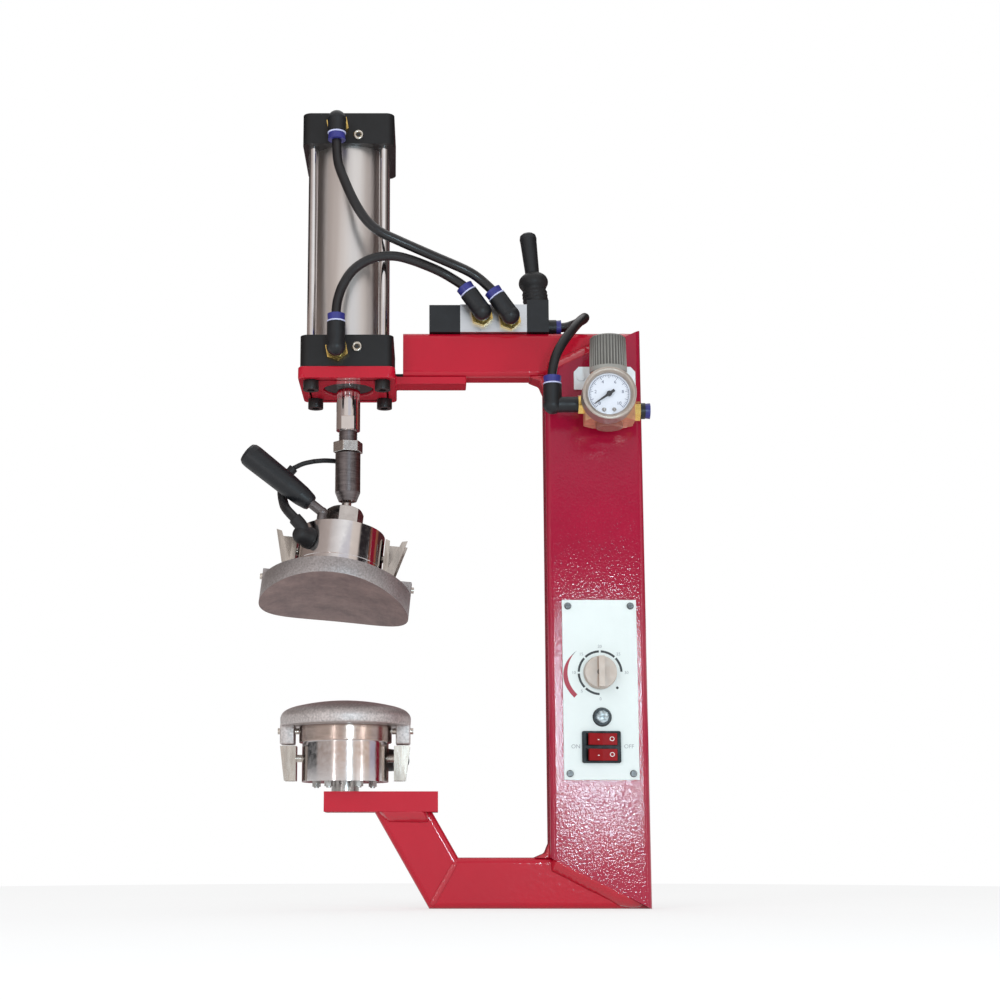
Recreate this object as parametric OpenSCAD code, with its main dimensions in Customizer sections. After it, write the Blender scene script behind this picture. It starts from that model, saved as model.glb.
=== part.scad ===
// Pneumatic spot press for tyre patches: C frame, air cylinder, two heated heads, valve, regulator, panel.
// Millimetres, +Z up, +X to the right, +Y away from the viewer.
// The origin is the centre of the base bar's underside.

/* [Frame] */
// height of the frame
frame_h = 474; // [466:1:482]
// width of the post
post_w = 80; // [76:1:84]
// depth of the post and of the platform
post_d = 40; // [38:1:44]
// depth of the arms and of the strut
arm_d = 25; // [24:1:28]
// height of the upper arm
arm_h = 38; // [36:1:40]
// height of the base bar
base_h = 40; // [36:1:42]
// length of the base bar
base_len = 176; // [170:1:184]
// wall of the tubes
tube_wall = 4; // [3:0.5:4.5]
// outer corner radius of the tubes
tube_r = 5; // [4.5:0.5:6]
// lean of the strut from upright
strut_lean = 30; // [28:1:31]
// distance from the post to the press axis
reach = 164; // [162:1:166]

/* [Cylinder] */
// side of the square caps
cap_w = 77; // [75:1:79]
// height of each cap
cap_h = 27; // [25:1:29]
// length of the barrel between the caps
barrel_len = 167; // [163:1:175]
// bore of the barrel
bore_d = 63; // [62:0.5:63.5]
// wall of the barrel
barrel_wall = 2; // [1.5:0.5:2.5]
// spacing of the tie rods
tie_pitch = 59; // [58:0.5:59.5]
// diameter of the piston rod
rod_d = 20; // [18:0.5:20]
// running clearance on radii
run_gap = 0.05; // [0.03:0.01:0.08]

/* [Heads] */
// side tilt of the upper head at rest
tilt_side = 5.5; // [4:0.5:6.5]
// front tilt of the upper head at rest
tilt_front = 11; // [9:0.5:11]
// diameter of both cups
cup_d = 70; // [68:1:71]
// diameter of the upper plate
upper_plate_d = 122; // [120:1:124]
// diameter of the lower plate
lower_plate_d = 106; // [104:1:108]
// hollow of the upper plate's face
face_sag = 12; // [8:0.5:12.5]
// height of the lower plate's dome
dome_h = 11; // [9:0.5:12]
// length of the handle grip
grip_len = 69; // [60:1:72]

/* [Air and controls] */
// diameter of the hoses
hose_d = 8; // [7:0.5:8]
// diameter of the gauge
gauge_d = 42.7; // [40:0.1:44]
// diameter of the regulator knob
reg_knob_d = 30.5; // [29:0.5:32]
// width of the panel
panel_w = 60; // [58:1:62]
// height of the panel
panel_h = 144.6; // [142:0.2:148]
// diameter of the timer knob
timer_d = 27; // [25:0.5:29]
// length of the valve lever above its pivot
lever_len = 69; // [64:1:74]

/* [Hidden] */
$fn = 64;
big = 600;
lap = 0.5;

// colours of the preview
red = [0.68, 0.16, 0.22];
black = [0.16, 0.16, 0.17];
steel = [0.72, 0.71, 0.71];
brass = [0.72, 0.52, 0.36];
white = [0.9, 0.91, 0.92];
blue = [0.23, 0.23, 0.44];
grey = [0.48, 0.47, 0.47];

// frame points in the X Z plane
post_x1 = base_len / 2;
post_x0 = post_x1 - post_w;
post_cx = post_x1 - post_w / 2;
press_x = post_x0 - reach;
base_x0 = -base_len / 2;
arm_z0 = frame_h - arm_h;
low_ang = 180 - atan2(base_h, post_w);
top_ang = atan2(arm_h, post_w);
strut_w = base_h;
plat_z0 = 76;
plat_z1 = 92;
plat_x0 = press_x - 16;
strut_x0 = base_x0 - plat_z0 * tan(strut_lean);
strut_x1 = strut_x0 + strut_w / cos(strut_lean);
plat_x1 = strut_x1 + 4.7;
fillet = 9;

// cylinder plate and cylinder heights
plate_t = 10;
plate_w = 80;
plate_z1 = arm_z0 + 1;
plate_z0 = plate_z1 - plate_t;
arm_x0 = press_x + plate_w / 2 + 6;
neck_d = 22;
neck_x1 = arm_x0 + 53;
cap1_z0 = plate_z1;
cap1_z1 = cap1_z0 + cap_h;
cap2_z0 = cap1_z1 + barrel_len;
cap2_z1 = cap2_z0 + cap_h;
pilot_d = 40;
nut_d = 12.6;
nut_h = 13;
tie_d = 8;
piston_z1 = cap2_z0 - 6;
piston_z0 = piston_z1 - 28;

// rod end and ball, all heights taken from the cylinder plate
rod_z0 = plate_z0 - 35;
nut_z1 = plate_z0 - 45;
nut_z0 = nut_z1 - 9;
ball_z = plate_z0 - 90;
couple_z0 = ball_z - 5.5;
couple_r = 10.5;
thread_d = 14;
ball_r = 6.5;
race_r = 7.8;
neck_r = 4;
mouth_r = 6.1;

// upper head, distances below the ball along its own axis
boss_top = -14;
cup_top = -36;
seam_top = -65.5;
ring_low = -78;
lug_up = -78.5;
face_mid = -91;
top_sag = 6;
up_r = upper_plate_d / 2;
face_r = (up_r * up_r + face_sag * face_sag) / (2 * face_sag);
back_r = (up_r * up_r + top_sag * top_sag) / (2 * top_sag);
cup_r = cup_d / 2;
cup_wall = 2;
clip_d = 16;
clip_t = 1.4;
rivet_hole_len = 12;
heater_t = 10;
plate_low = 40;
plate_tall = 100;
boss_af = 27;
knee = [-18, -12.5, -22.5];
grip_dir = [-0.835, -0.105, 0.539];
lead_d = 4;
sleeve_d = 8;
boot_dir = [-0.7071, -0.7071, 0];
boot_z = -51;

// lower head
low_z0 = plat_z1 + 8;
low_seam_h = 30.8;
low_cup_h = 45;
low_ring = 2.2;
low_seam = low_z0 + low_seam_h;
low_top = low_z0 + low_cup_h;
low_rim = 9.5;
low_r = lower_plate_d / 2;
lug_low = 15;
dome_r = (low_r * low_r + dome_h * dome_h) / (2 * dome_h);

// valve
valve_x0 = arm_x0 + 22;
valve_x1 = valve_x0 + 26;
valve_x2 = valve_x1 + 56;
valve_x3 = valve_x2 + 18.4;
valve_d = 28;
valve_top = frame_h + 24;
pivot = [valve_x2 + 9.2, 0, frame_h + 23];
lever_lean = -6;
tail = 12;
spool_z = pivot[2] - tail * cos(lever_lean);
spool_r = 6;
tail_x = pivot[0] - tail * sin(lever_lean);

// regulator, taken from the middle of the post
reg_x = post_cx + 9.5;
reg_y = -post_d / 2 - 30;
reg_z0 = 386;
reg_z1 = 411;
shelf_z = 422;
knob_z0 = 427.5;
knob_z1 = 457.5;
gauge_x = reg_x - 3;
gauge_z = 401.6;
gauge_y0 = reg_y - 36;
gauge_y1 = reg_y - 20;

// panel
panel_x = post_cx + 1.5;
panel_z0 = 101;
panel_y = -post_d / 2;
panel_t = 2;
panel_y1 = panel_y - panel_t;
timer_z = panel_z0 + 85.5;
lamp_z = panel_z0 + 49.9;
switch_z = panel_z0 + 25.9;
switch_w = 31;
switch_h = 25.4;
rocker_h = 9.2;
rocker_dz = 6.2;
rocker_tilt = 12;
screw_dx = panel_w / 2 - 4.7;
screw_dz = panel_h / 2 - 4.9;
panel_cz = panel_z0 + panel_h / 2;
screw_z = shelf_z + 10.5;

cushion_z = [cap1_z0 + 16.6, cap2_z0 + 7.2];

// air fittings: port, stem direction, stem length, outlet direction, outlet length
up_left = [-0.574, 0, 0.8189];
port_rear = [press_x - 9, -cap_w / 2, cap2_z0 + 15];
port_front = [press_x - 8, -cap_w / 2, cap1_z0 + 13];
port_one = [valve_x1 + 18, -valve_d / 2, frame_h + 14];
port_two = [valve_x1 + 41.5, -valve_d / 2, frame_h + 10.5];
port_reg = [reg_x - 20, reg_y, 401.5];
ELBOWS = [
    [port_rear, [0, -1, 0], 13.5, [0, 0, -1], 11],
    [port_front, [0, -1, 0], 13.5, [0, 0, 1], 20],
    [port_one, [0, -1, 0], 13, up_left, 19],
    [port_two, [0, -1, 0], 13, up_left, 19],
    [port_reg, [-1, 0, 0], 25.5, [0, 0, 1], 16.5]];
port_in = [reg_x + 20, reg_y, 396];
port_valve = [valve_x3, 0, frame_h + 8];
STRAIGHTS = [[port_in, 9], [port_valve, 7]];
hex_t = 5;
hex_af = 17;
hex_small = 14;
elbow_r = 7.6;
collar_t = 7;
short_t = 4;

// points of the hoses and leads at the sizes above, each from its first fitting to its last
HOSE_REAR = [[-165, -52, 635], [-165, -52, 624], [-163.6, -52, 608], [-158, -52, 592], [-150, -52, 574],
    [-140.5, -51, 559], [-129, -49.5, 549], [-114, -46.5, 542.5], [-98, -42.5, 536.5], [-82, -37.5, 531],
    [-68, -33.2, 526.3], [-56, -30.5, 521.5], [-46.5, -28, 516], [-35.4, -27, 505.8], [-31.4, -27, 500.1]];
HOSE_FRONT = [[-164, -52, 470], [-164, -52, 481], [-162.5, -52, 491], [-158.5, -52, 502.5],
    [-151, -51.3, 514.5], [-140.5, -50, 523], [-128.5, -47.5, 528],
    [-116, -44.5, 529.5], [-104, -40.5, 528], [-91, -35, 525],
    [-80, -30.5, 521.6], [-69.8, -27.6, 516.7], [-58.9, -27, 509.3], [-54.9, -27, 503.6]];
HOSE_SUPPLY = [[12, -50, 418], [12, -50, 429], [15, -50, 442], [21, -48, 454], [29, -43.5, 466],
    [36.5, -35, 476.5], [41.5, -23, 483.5], [41.5, -11, 485.5], [36, -3, 484.5], [28, 0, 482.5],
    [19.4, 0, 482]];
SLEEVE = [[-30.4, -33, -45.5], [-37.5, -33.5, -38.5], [-45.5, -25, -28.5], [-51, -7.8, -16],
    [-54.5, -1, -2.5], [-53, -0.5, 10], [-47.5, -2, 19]];
WIRE = [[-47.5, -2, 19], [-40, -1.5, 24], [-31.5, -0.5, 27.5], [-23, 1.5, 30], [-15, 5, 32],
    [-9.5, 8.5, 33.5]];
RISER = [[-156, 19, 376], [-156, 19, 386], [-156, 19.5, 396], [-156, 25, 407], [-156, 36, 416],
    [-156, 45, 424], [-156, 48, 434], [-152, 48.5, 445], [-142, 48.5, 452], [-126, 48, 453], [-100, 47, 453],
    [-64, 44, 453], [-28, 39, 452], [6, 37.5, 448], [34, 38, 443], [46, 36, 441], [51, 31, 440],
    [52, 25, 440]];

function unit(v) = v / norm(v);
function tangent(p, i) = i == 0 ? unit(p[1] - p[0]) : i == len(p) - 1 ? unit(p[i] - p[i - 1])
    : unit(unit(p[i + 1] - p[i]) + unit(p[i] - p[i - 1]));
function normals(p, i, n) = i == len(p) ? []
    : let (t = tangent(p, i), m = unit(n - (n * t) * t)) concat([m], normals(p, i + 1, m));
function ring(c, t, n, r, s) = let (b = cross(t, n))
    [for (k = [0 : s - 1]) c + r * (cos(360 * k / s) * n + sin(360 * k / s) * b)];
// moves the points so that the first and last land on the given ends
function follow(p, a, b) = let (n = len(p) - 1, da = a - p[0], db = b - p[n])
    [for (i = [0 : n]) p[i] + da * (1 - i / n) + db * (i / n)];
function corner(e) = e[0] + e[1] * e[2];
function outlet(e) = corner(e) + e[3] * e[4];
// a point of the tilted upper head in the frame
function head_point(p) = let (cb = cos(-tilt_front), sb = sin(-tilt_front), y = cb * p[1] - sb * p[2],
    z = sb * p[1] + cb * p[2], ca = cos(tilt_side), sa = sin(tilt_side))
    [press_x + ca * p[0] + sa * z, y, ball_z - sa * p[0] + ca * z];

module tube_along(p, r, s) {
    n = len(p);
    t0 = tangent(p, 0);
    first = abs(t0[2]) < 0.9 ? [0, 0, 1] : [1, 0, 0];
    m = normals(p, 0, first);
    rings = [for (i = [0 : n - 1]) each ring(p[i], tangent(p, i), m[i], r, s)];
    sides = [for (i = [0 : n - 2], k = [0 : s - 1]) let (a = i * s + k, b = i * s + (k + 1) % s,
        c = b + s, d = a + s) each [[d, c, b], [d, b, a]]];
    start = [[for (k = [0 : s - 1]) k]];
    finish = [[for (k = [0 : s - 1]) n * s - 1 - k]];
    polyhedron(rings, concat(sides, start, finish));
}

module aim(p, d) {
    translate(p) rotate([0, acos(d[2] / norm(d)), atan2(d[1], d[0])]) children();
}

module rounded(w, d, r) {
    square([w - 2 * r, d], center = true);
    square([w, d - 2 * r], center = true);
    for (sx = [-1, 1], sy = [-1, 1]) translate([sx * (w / 2 - r), sy * (d / 2 - r)]) circle(r);
}

module section(w, d) {
    difference() {
        rounded(w, d, tube_r);
        rounded(w - 2 * tube_wall, d - 2 * tube_wall, tube_r - tube_wall + 0.6);
    }
}

// everything to the left of a line in the X Z plane
module left_of(p, ang) {
    translate([p[0], 0, p[1]]) rotate([0, -ang, 0]) translate([-big / 2, -big / 2, 0]) cube(big);
}

module hole_y(x, z, r, y0, y1) {
    translate([x, y1, z]) rotate([90, 0, 0]) cylinder(r = r, h = y1 - y0);
}

module post() {
    color(red) difference() {
        translate([post_cx, 0, 0]) linear_extrude(frame_h) section(post_w, post_d);
        left_of([post_x1, 0], low_ang);
        left_of([post_x0, arm_z0], top_ang);
        translate([panel_x - 20, -post_d / 2 - 1, panel_z0 + 12]) cube([40, 1 + tube_wall + lap, 94]);
        for (sx = [-1, 1], sz = [-1, 1])
            hole_y(panel_x + sx * screw_dx, panel_cz + sz * screw_dz, 2, -post_d / 2 - 1, -post_d / 2 + 6);
        for (sx = [-1, 1]) hole_y(reg_x + sx * 20, screw_z, 2, -post_d / 2 - 1, -post_d / 2 + 6);
        hole_y(post_cx + 4, 440, 4, post_d / 2 - 8, post_d / 2 + 1);
        hole_y(post_cx, 60, 7, post_d / 2 - 8, post_d / 2 + 1);
    }
}

module upper_arm() {
    color(red) intersection() {
        translate([arm_x0, 0, arm_z0 + arm_h / 2]) rotate([90, 0, 90])
            linear_extrude(post_x1 - arm_x0) section(arm_d, arm_h);
        left_of([post_x0, arm_z0], top_ang);
    }
}

module base_bar() {
    color(red) difference() {
        intersection() {
            translate([base_x0, 0, base_h / 2]) rotate([90, 0, 90])
                linear_extrude(base_len) section(arm_d, base_h);
            left_of([post_x1, 0], low_ang);
        }
        left_of([base_x0, 0], 90 - strut_lean);
    }
}

module strut() {
    color(red) difference() {
        intersection() {
            translate([base_x0, 0, 0]) rotate([0, -strut_lean, 0]) translate([strut_w / 2, 0, -40])
                linear_extrude(220) section(strut_w, arm_d);
            left_of([base_x0, 0], 90 - strut_lean);
        }
        left_of([base_x0, plat_z0], 0);
    }
}

module platform() {
    color(red) difference() {
        translate([plat_x0, -post_d / 2, plat_z0]) cube([plat_x1 - plat_x0, post_d, plat_z1 - plat_z0]);
        translate([press_x, 0, plat_z0 + 4]) cylinder(r = 5.05, h = 40);
    }
}

module cylinder_plate() {
    color(red) difference() {
        union() {
            translate([press_x, 0, plate_z0]) linear_extrude(plate_t) rounded(plate_w, plate_w, 6);
            translate([press_x + plate_w / 2 - 4, -neck_d / 2, arm_z0 - 6])
                cube([neck_x1 - press_x - plate_w / 2 + 4, neck_d, 6]);
        }
        translate([press_x, 0, plate_z0 - 1]) cylinder(d = pilot_d + 2, h = plate_t + 2);
        tie_places() translate([0, 0, plate_z0 - 1]) cylinder(d = tie_d + 0.6, h = plate_t + 2);
    }
}

module tie_places() {
    for (sx = [-1, 1], sy = [-1, 1]) translate([press_x + sx * tie_pitch / 2, sy * tie_pitch / 2, 0])
        children();
}

// wedge along a mitre, filling the step between a deep tube and a shallow one
module mitre_bead(p, ang, run, side) {
    step = (post_d - arm_d) / 2;
    intersection() {
        translate([p[0], side * arm_d / 2, p[1]]) rotate([0, -ang, 0]) rotate([0, 90, 0])
            linear_extrude(run) polygon([[0, 0], [0, side * step], [-3, side * step * 0.8], [-9, 0]]);
        translate([-big / 2, -big / 2, 3]) cube([big, big, frame_h - 6]);
    }
}

module inner_bead(x, z, up) {
    translate([x, arm_d / 2 - 0.5, z]) rotate([90, 0, 0]) linear_extrude(arm_d - 1) difference() {
        translate([-fillet, up > 0 ? 0 : -fillet]) square(fillet);
        translate([-fillet, up * fillet]) circle(fillet);
    }
}

module platform_bead(side) {
    step = (post_d - arm_d) / 2;
    intersection() {
        translate([strut_x0 - 10, side * arm_d / 2, plat_z0]) rotate([90, 0, 90]) linear_extrude(strut_w * 3)
            polygon([[0, 0], [side * step, 0], [side * step * 0.8, -3], [0, -10]]);
        translate([base_x0, -big / 2, 0]) rotate([0, -strut_lean, 0]) translate([4, 0, 0])
            cube([strut_w - 8, big, 200]);
    }
}

module weld_beads() {
    color(red) {
        for (side = [-1, 1]) {
            mitre_bead([post_x1, 0] + 4 * [cos(low_ang), sin(low_ang)], low_ang,
                post_w / -cos(low_ang) - 8, side);
            mitre_bead([post_x0, arm_z0] + 4 * [cos(top_ang), sin(top_ang)], top_ang,
                post_w / cos(top_ang) - 8, side);
            platform_bead(side);
        }
        inner_bead(post_x0, base_h, 1);
        inner_bead(post_x0, arm_z0, -1);
    }
}

module cap_holes(z, nut_z) {
    tie_places() {
        translate([0, 0, z - 1]) cylinder(d = tie_d + 0.3, h = cap_h + 2);
        translate([0, 0, nut_z]) cylinder(d = nut_d + 0.2, h = nut_h);
    }
}

module front_cap() {
    color(black) difference() {
        union() {
            translate([press_x, 0, cap1_z0]) linear_extrude(cap_h) rounded(cap_w, cap_w, 7);
            translate([press_x, 0, plate_z0 + 2]) cylinder(d = pilot_d, h = plate_t);
        }
        translate([press_x, 0, plate_z0]) cylinder(r = rod_d / 2 + run_gap, h = 80);
        translate([press_x, 0, cap1_z1 - 8]) cylinder(d = 38, h = 9);
        cap_holes(cap1_z0, cap1_z0);
        hole_y(port_front[0], port_front[2], 5, -cap_w / 2 - 1, -cap_w / 2 + 10);
        hole_y(press_x + 8.5, cushion_z[0], 3, -cap_w / 2 - 1, -cap_w / 2 + 6);
    }
}

module rear_cap() {
    color(black) difference() {
        translate([press_x, 0, cap2_z0]) linear_extrude(cap_h) rounded(cap_w, cap_w, 7);
        translate([press_x, 0, cap2_z0 - 1]) cylinder(d = 38, h = 9);
        cap_holes(cap2_z0, cap2_z1 - nut_h);
        hole_y(port_rear[0], port_rear[2], 5, -cap_w / 2 - 1, -cap_w / 2 + 10);
        hole_y(press_x + 8.5, cushion_z[1], 3, -cap_w / 2 - 1, -cap_w / 2 + 6);
    }
}

module barrel() {
    color(white) translate([press_x, 0, cap1_z1]) difference() {
        cylinder(d = bore_d + 2 * barrel_wall, h = barrel_len);
        translate([0, 0, -1]) cylinder(d = bore_d, h = barrel_len + 2);
    }
}

module tie_rods() {
    color(steel) tie_places() {
        translate([0, 0, cap1_z0 + nut_h - 2]) cylinder(d = tie_d, h = cap2_z1 - cap1_z0 - 2 * nut_h + 4);
        difference() {
            translate([0, 0, cap1_z0]) cylinder(d = nut_d, h = nut_h);
            translate([0, 0, cap1_z0 - 1]) cylinder(d = tie_d + 0.1, h = 11);
        }
        difference() {
            translate([0, 0, cap2_z1 - nut_h]) cylinder(d = nut_d, h = nut_h - 1);
            translate([0, 0, cap2_z1 - 6]) cylinder(d = 7, h = 6, $fn = 6);
        }
    }
}

module mount_bolts() {
    color(steel) tie_places() difference() {
        union() {
            translate([0, 0, plate_z0 - 8]) cylinder(d = 13, h = 8);
            translate([0, 0, plate_z0 - 1]) cylinder(d = tie_d, h = plate_t + 9);
        }
        translate([0, 0, plate_z0 - 9]) cylinder(d = 6.9, h = 5, $fn = 6);
    }
}

module piston() {
    color(grey) translate([press_x, 0, piston_z0]) difference() {
        cylinder(r = bore_d / 2 - 2 * run_gap, h = piston_z1 - piston_z0);
        translate([0, 0, -1]) cylinder(r = thread_d / 2 + run_gap, h = 40);
        for (z = [6, 18]) translate([0, 0, z]) difference() {
            cylinder(r = bore_d, h = 4);
            translate([0, 0, -1]) cylinder(r = bore_d / 2 - 3, h = 6);
        }
    }
}

module piston_rod() {
    color(steel) translate([press_x, 0, 0]) {
        translate([0, 0, rod_z0 + 11]) cylinder(d = rod_d, h = piston_z0 - rod_z0 - 11);
        intersection() {
            translate([0, 0, rod_z0]) cylinder(d = rod_d, h = 11 + lap);
            translate([-big / 2, -rod_d * 0.425, rod_z0 - 1]) cube([big, rod_d * 0.85, 20]);
        }
        translate([0, 0, ball_z + 19]) cylinder(d = thread_d, h = rod_z0 - ball_z - 18);
        translate([0, 0, piston_z0 - 1]) cylinder(d = thread_d, h = piston_z1 - piston_z0 + 1);
    }
}

module lock_nut() {
    color(steel) translate([press_x, 0, nut_z0]) difference() {
        rotate(14) cylinder(d = 22 / cos(30), h = nut_z1 - nut_z0, $fn = 6);
        translate([0, 0, -1]) cylinder(r = thread_d / 2 + run_gap, h = 20);
    }
}

module ball_coupling() {
    color(grey) translate([press_x, 0, ball_z]) difference() {
        rotate_extrude() polygon([[0, -5.5], [7.5, -5.5], [couple_r, 2], [couple_r, nut_z0 - ball_z - 1],
            [couple_r - 1, nut_z0 - ball_z], [0, nut_z0 - ball_z]]);
        translate([0, 0, 18]) cylinder(r = thread_d / 2 + run_gap, h = 40);
        sphere(r = race_r + run_gap);
        translate([0, 0, -20]) cylinder(r = mouth_r, h = 18);
    }
}

// frame of the race: turned about the side axis only
module race_frame() {
    translate([press_x, 0, ball_z]) rotate([0, tilt_side, 0]) children();
}

// frame of the upper head: both tilts
module head_frame() {
    race_frame() rotate([-tilt_front, 0, 0]) children();
}

module ball_race() {
    color(brass) race_frame() difference() {
        sphere(r = race_r);
        sphere(r = ball_r + run_gap);
        translate([-20, -20, 4]) cube(40);
        translate([-20, -20, -44]) cube(40);
    }
}

module swivel_ball() {
    color(steel) head_frame() difference() {
        sphere(r = ball_r);
        translate([0, 0, -20]) cylinder(r = neck_r + run_gap, h = 40);
    }
}

module hex_boss() {
    color(steel) head_frame() {
        difference() {
            intersection() {
                rotate(15) translate([0, 0, cup_top])
                    cylinder(d = boss_af / cos(30), h = boss_top - cup_top, $fn = 6);
                rotate_extrude() polygon([[0, cup_top - 1], [20, cup_top - 1], [20, boss_top - 4],
                    [boss_af / 2 - 1, boss_top], [0, boss_top]]);
            }
        }
        translate([0, 0, boss_top - 1]) cylinder(r = neck_r, h = 5 - boss_top + 1);
    }
}

// rivet places of the clips, on both sides of a cup
module side_holes(r, z) {
    for (s = [-1, 1]) translate([s * (cup_r - 6), 0, z]) rotate([0, s * 90, 0])
        cylinder(r = r, h = rivet_hole_len);
}

module upper_cup() {
    color(steel) head_frame() difference() {
        translate([0, 0, ring_low]) cylinder(r = cup_r, h = cup_top - ring_low);
        translate([0, 0, ring_low - 1]) cylinder(r = cup_r - cup_wall, h = cup_top - ring_low - 2);
        translate([0, 0, seam_top]) difference() {
            cylinder(r = cup_r + 5, h = 0.7);
            translate([0, 0, -1]) cylinder(r = cup_r - 0.6, h = 3);
        }
        side_holes(3.1, -54);
        translate([0, 0, boot_z]) aim([0, 0, 0], boot_dir) cylinder(r = 4, h = 60);
    }
}

module upper_plate() {
    color(grey) head_frame() difference() {
        union() {
            intersection() {
                translate([0, 0, face_mid - plate_low]) cylinder(r = up_r, h = plate_tall);
                translate([0, 0, ring_low - back_r]) rotate([90, 0, 0])
                    cylinder(r = back_r, h = big, center = true, $fn = 200);
            }
            translate([0, 0, ring_low - 8]) cylinder(r = cup_r + 1, h = 8);
            intersection() {
                translate([0, 0, ring_low - 8]) cylinder(r = up_r, h = 12.2);
                for (s = [-1, 1]) translate([s * up_r - 14, -7, ring_low - 8]) cube([28, 14, 12.2]);
            }
        }
        translate([0, 0, face_mid - face_r]) rotate([90, 0, 0])
            cylinder(r = face_r, h = big, center = true, $fn = 200);
        for (s = [-1, 1]) translate([s * (cup_r + 2), 0, lug_up]) rotate([0, s * 90, 0])
            cylinder(r = 2.6, h = 40);
    }
}

module upper_heater() {
    color(brass) head_frame() translate([0, 0, ring_low])
        cylinder(r = cup_r - cup_wall - 1.5, h = heater_t);
}

// folded channel with a rivet into the cup and the lug's screw, for the right side of a head;
// sizes: inner edge, first height from the lug, length, width there and at the far end, rivet height
module clip(rim_r, lug_z, up, c) {
    x0 = cup_r + c[0];
    z0 = up * c[1];
    z1 = up * (c[1] + c[2]);
    near = x0 + c[3];
    far = x0 + c[4];
    translate([0, clip_d / 2, lug_z]) rotate([90, 0, 0]) linear_extrude(clip_t)
        polygon([[x0, z0], [near, z0], [far, z1], [x0, z1]]);
    translate([0, clip_t - clip_d / 2, lug_z]) rotate([90, 0, 0]) linear_extrude(clip_t)
        polygon(up > 0 ? [[x0, z0], [near, z0], [far, z1], [far - 4.5, z1 - 1], [x0 + 4.5, z0 + 9],
            [x0 + 3.6, z1 - 1], [x0, z1]] : [[x0, z0], [near, z0], [far, z1], [x0, z1]]);
    translate([x0, -clip_d / 2, min(z0, z1) + lug_z]) cube([clip_t, clip_d, c[2]]);
    translate([cup_r - 4, 0, lug_z + up * c[5]]) rotate([0, 90, 0]) cylinder(r = 3, h = c[0] + 5.2);
    translate([x0, 0, lug_z + up * c[5]]) rotate([0, 90, 0]) cylinder(r = 4.5, h = 3.4);
    translate([cup_r + 2.8, 0, lug_z]) rotate([0, 90, 0]) cylinder(r = 2.5, h = rim_r + 2 - cup_r - 2.8);
}

module upper_clips() {
    color(steel) head_frame() for (s = [0, 1]) mirror([s, 0, 0])
        clip(up_r, lug_up, 1, [1, 6, 33.6, 9, 18, -54 - lug_up]);
}

module handle_rod() {
    color(grey) head_frame() {
        translate([knee[0], knee[1], cup_top]) cylinder(r = 4, h = knee[2] - cup_top);
        translate([knee[0], knee[1], cup_top]) cylinder(d = 13, h = 5, $fn = 6);
        translate(knee) sphere(r = 4.4);
        aim(knee, grip_dir) cylinder(r = 4, h = 40);
    }
}

module handle_grip() {
    color(black) head_frame() aim(knee, grip_dir) translate([0, 0, 12]) difference() {
        rotate_extrude() polygon([[0, 0], [6.2, 0], [7.2, 2], [8.6, 10], [9.5, 24], [10.3, grip_len - 7],
            [9.9, grip_len - 3], [8.4, grip_len - 0.6], [6, grip_len], [0, grip_len]]);
        translate([0, 0, -1]) cylinder(r = 4 + run_gap, h = 40);
    }
}

module upper_boot() {
    color(black) head_frame() translate([0, 0, boot_z]) difference() {
        union() {
            aim([0, 0, 0], boot_dir) translate([0, 0, cup_r - 6]) cylinder(r = 3.9, h = 8);
            aim([0, 0, 0], boot_dir) translate([0, 0, cup_r]) cylinder(r1 = 9, r2 = 7.4, h = 7);
            translate((cup_r + 7) * boot_dir) sphere(r = 8);
            aim((cup_r + 7) * boot_dir, SLEEVE[1] - SLEEVE[0]) cylinder(r1 = 7, r2 = 5, h = 11);
        }
        translate([0, 0, -30]) cylinder(r = cup_r, h = 60);
        aim(SLEEVE[0] - [0, 0, boot_z], SLEEVE[1] - SLEEVE[0]) cylinder(r = sleeve_d / 2 + 0.1, h = 40);
    }
}

module upper_lead() {
    color(black) head_frame() {
        tube_along(SLEEVE, sleeve_d / 2, 8);
        tube_along(WIRE, lead_d / 2, 8);
    }
}

module lead_riser() {
    wire_end = head_point(WIRE[len(WIRE) - 1]);
    start = wire_end + 1.9 * unit(RISER[0] - wire_end);
    gland = [post_cx + 4, post_d / 2 + 5, 440];
    color(black) tube_along(follow(concat([start], RISER), start, gland), lead_d / 2, 8);
}

module cable_glands() {
    low_exit = [0.82, 0.57, 0];
    color(black) {
        translate([post_cx + 4, post_d / 2 + 6, 440]) rotate([90, 0, 0]) difference() {
            union() {
                cylinder(r1 = 4.5, r2 = 6.5, h = 6);
                cylinder(r = 3.9, h = 9);
            }
            translate([0, 0, -1]) cylinder(r = lead_d / 2 + 0.1, h = 20);
        }
        translate([post_cx, post_d / 2 + 12, 60]) rotate([90, 0, 0]) difference() {
            union() {
                cylinder(r1 = 7, r2 = 10, h = 12);
                cylinder(r = 6.9, h = 15);
            }
            translate([0, 0, -1]) cylinder(r = 4, h = 30);
        }
        translate([press_x, 0, low_z0 + 19]) aim([0, 0, 0], low_exit) difference() {
            union() {
                translate([0, 0, cup_r + run_gap]) cylinder(r1 = 9.5, r2 = 8.5, h = 15);
                translate([0, 0, cup_r - 6]) cylinder(r = 3.9, h = 10);
                translate([0, 0, cup_r + 14]) cylinder(r1 = 6.5, r2 = 5, h = 11);
            }
            cylinder(r = 2.2, h = 80);
        }
    }
}

module low_frame() {
    translate([press_x, 0, 0]) children();
}

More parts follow.
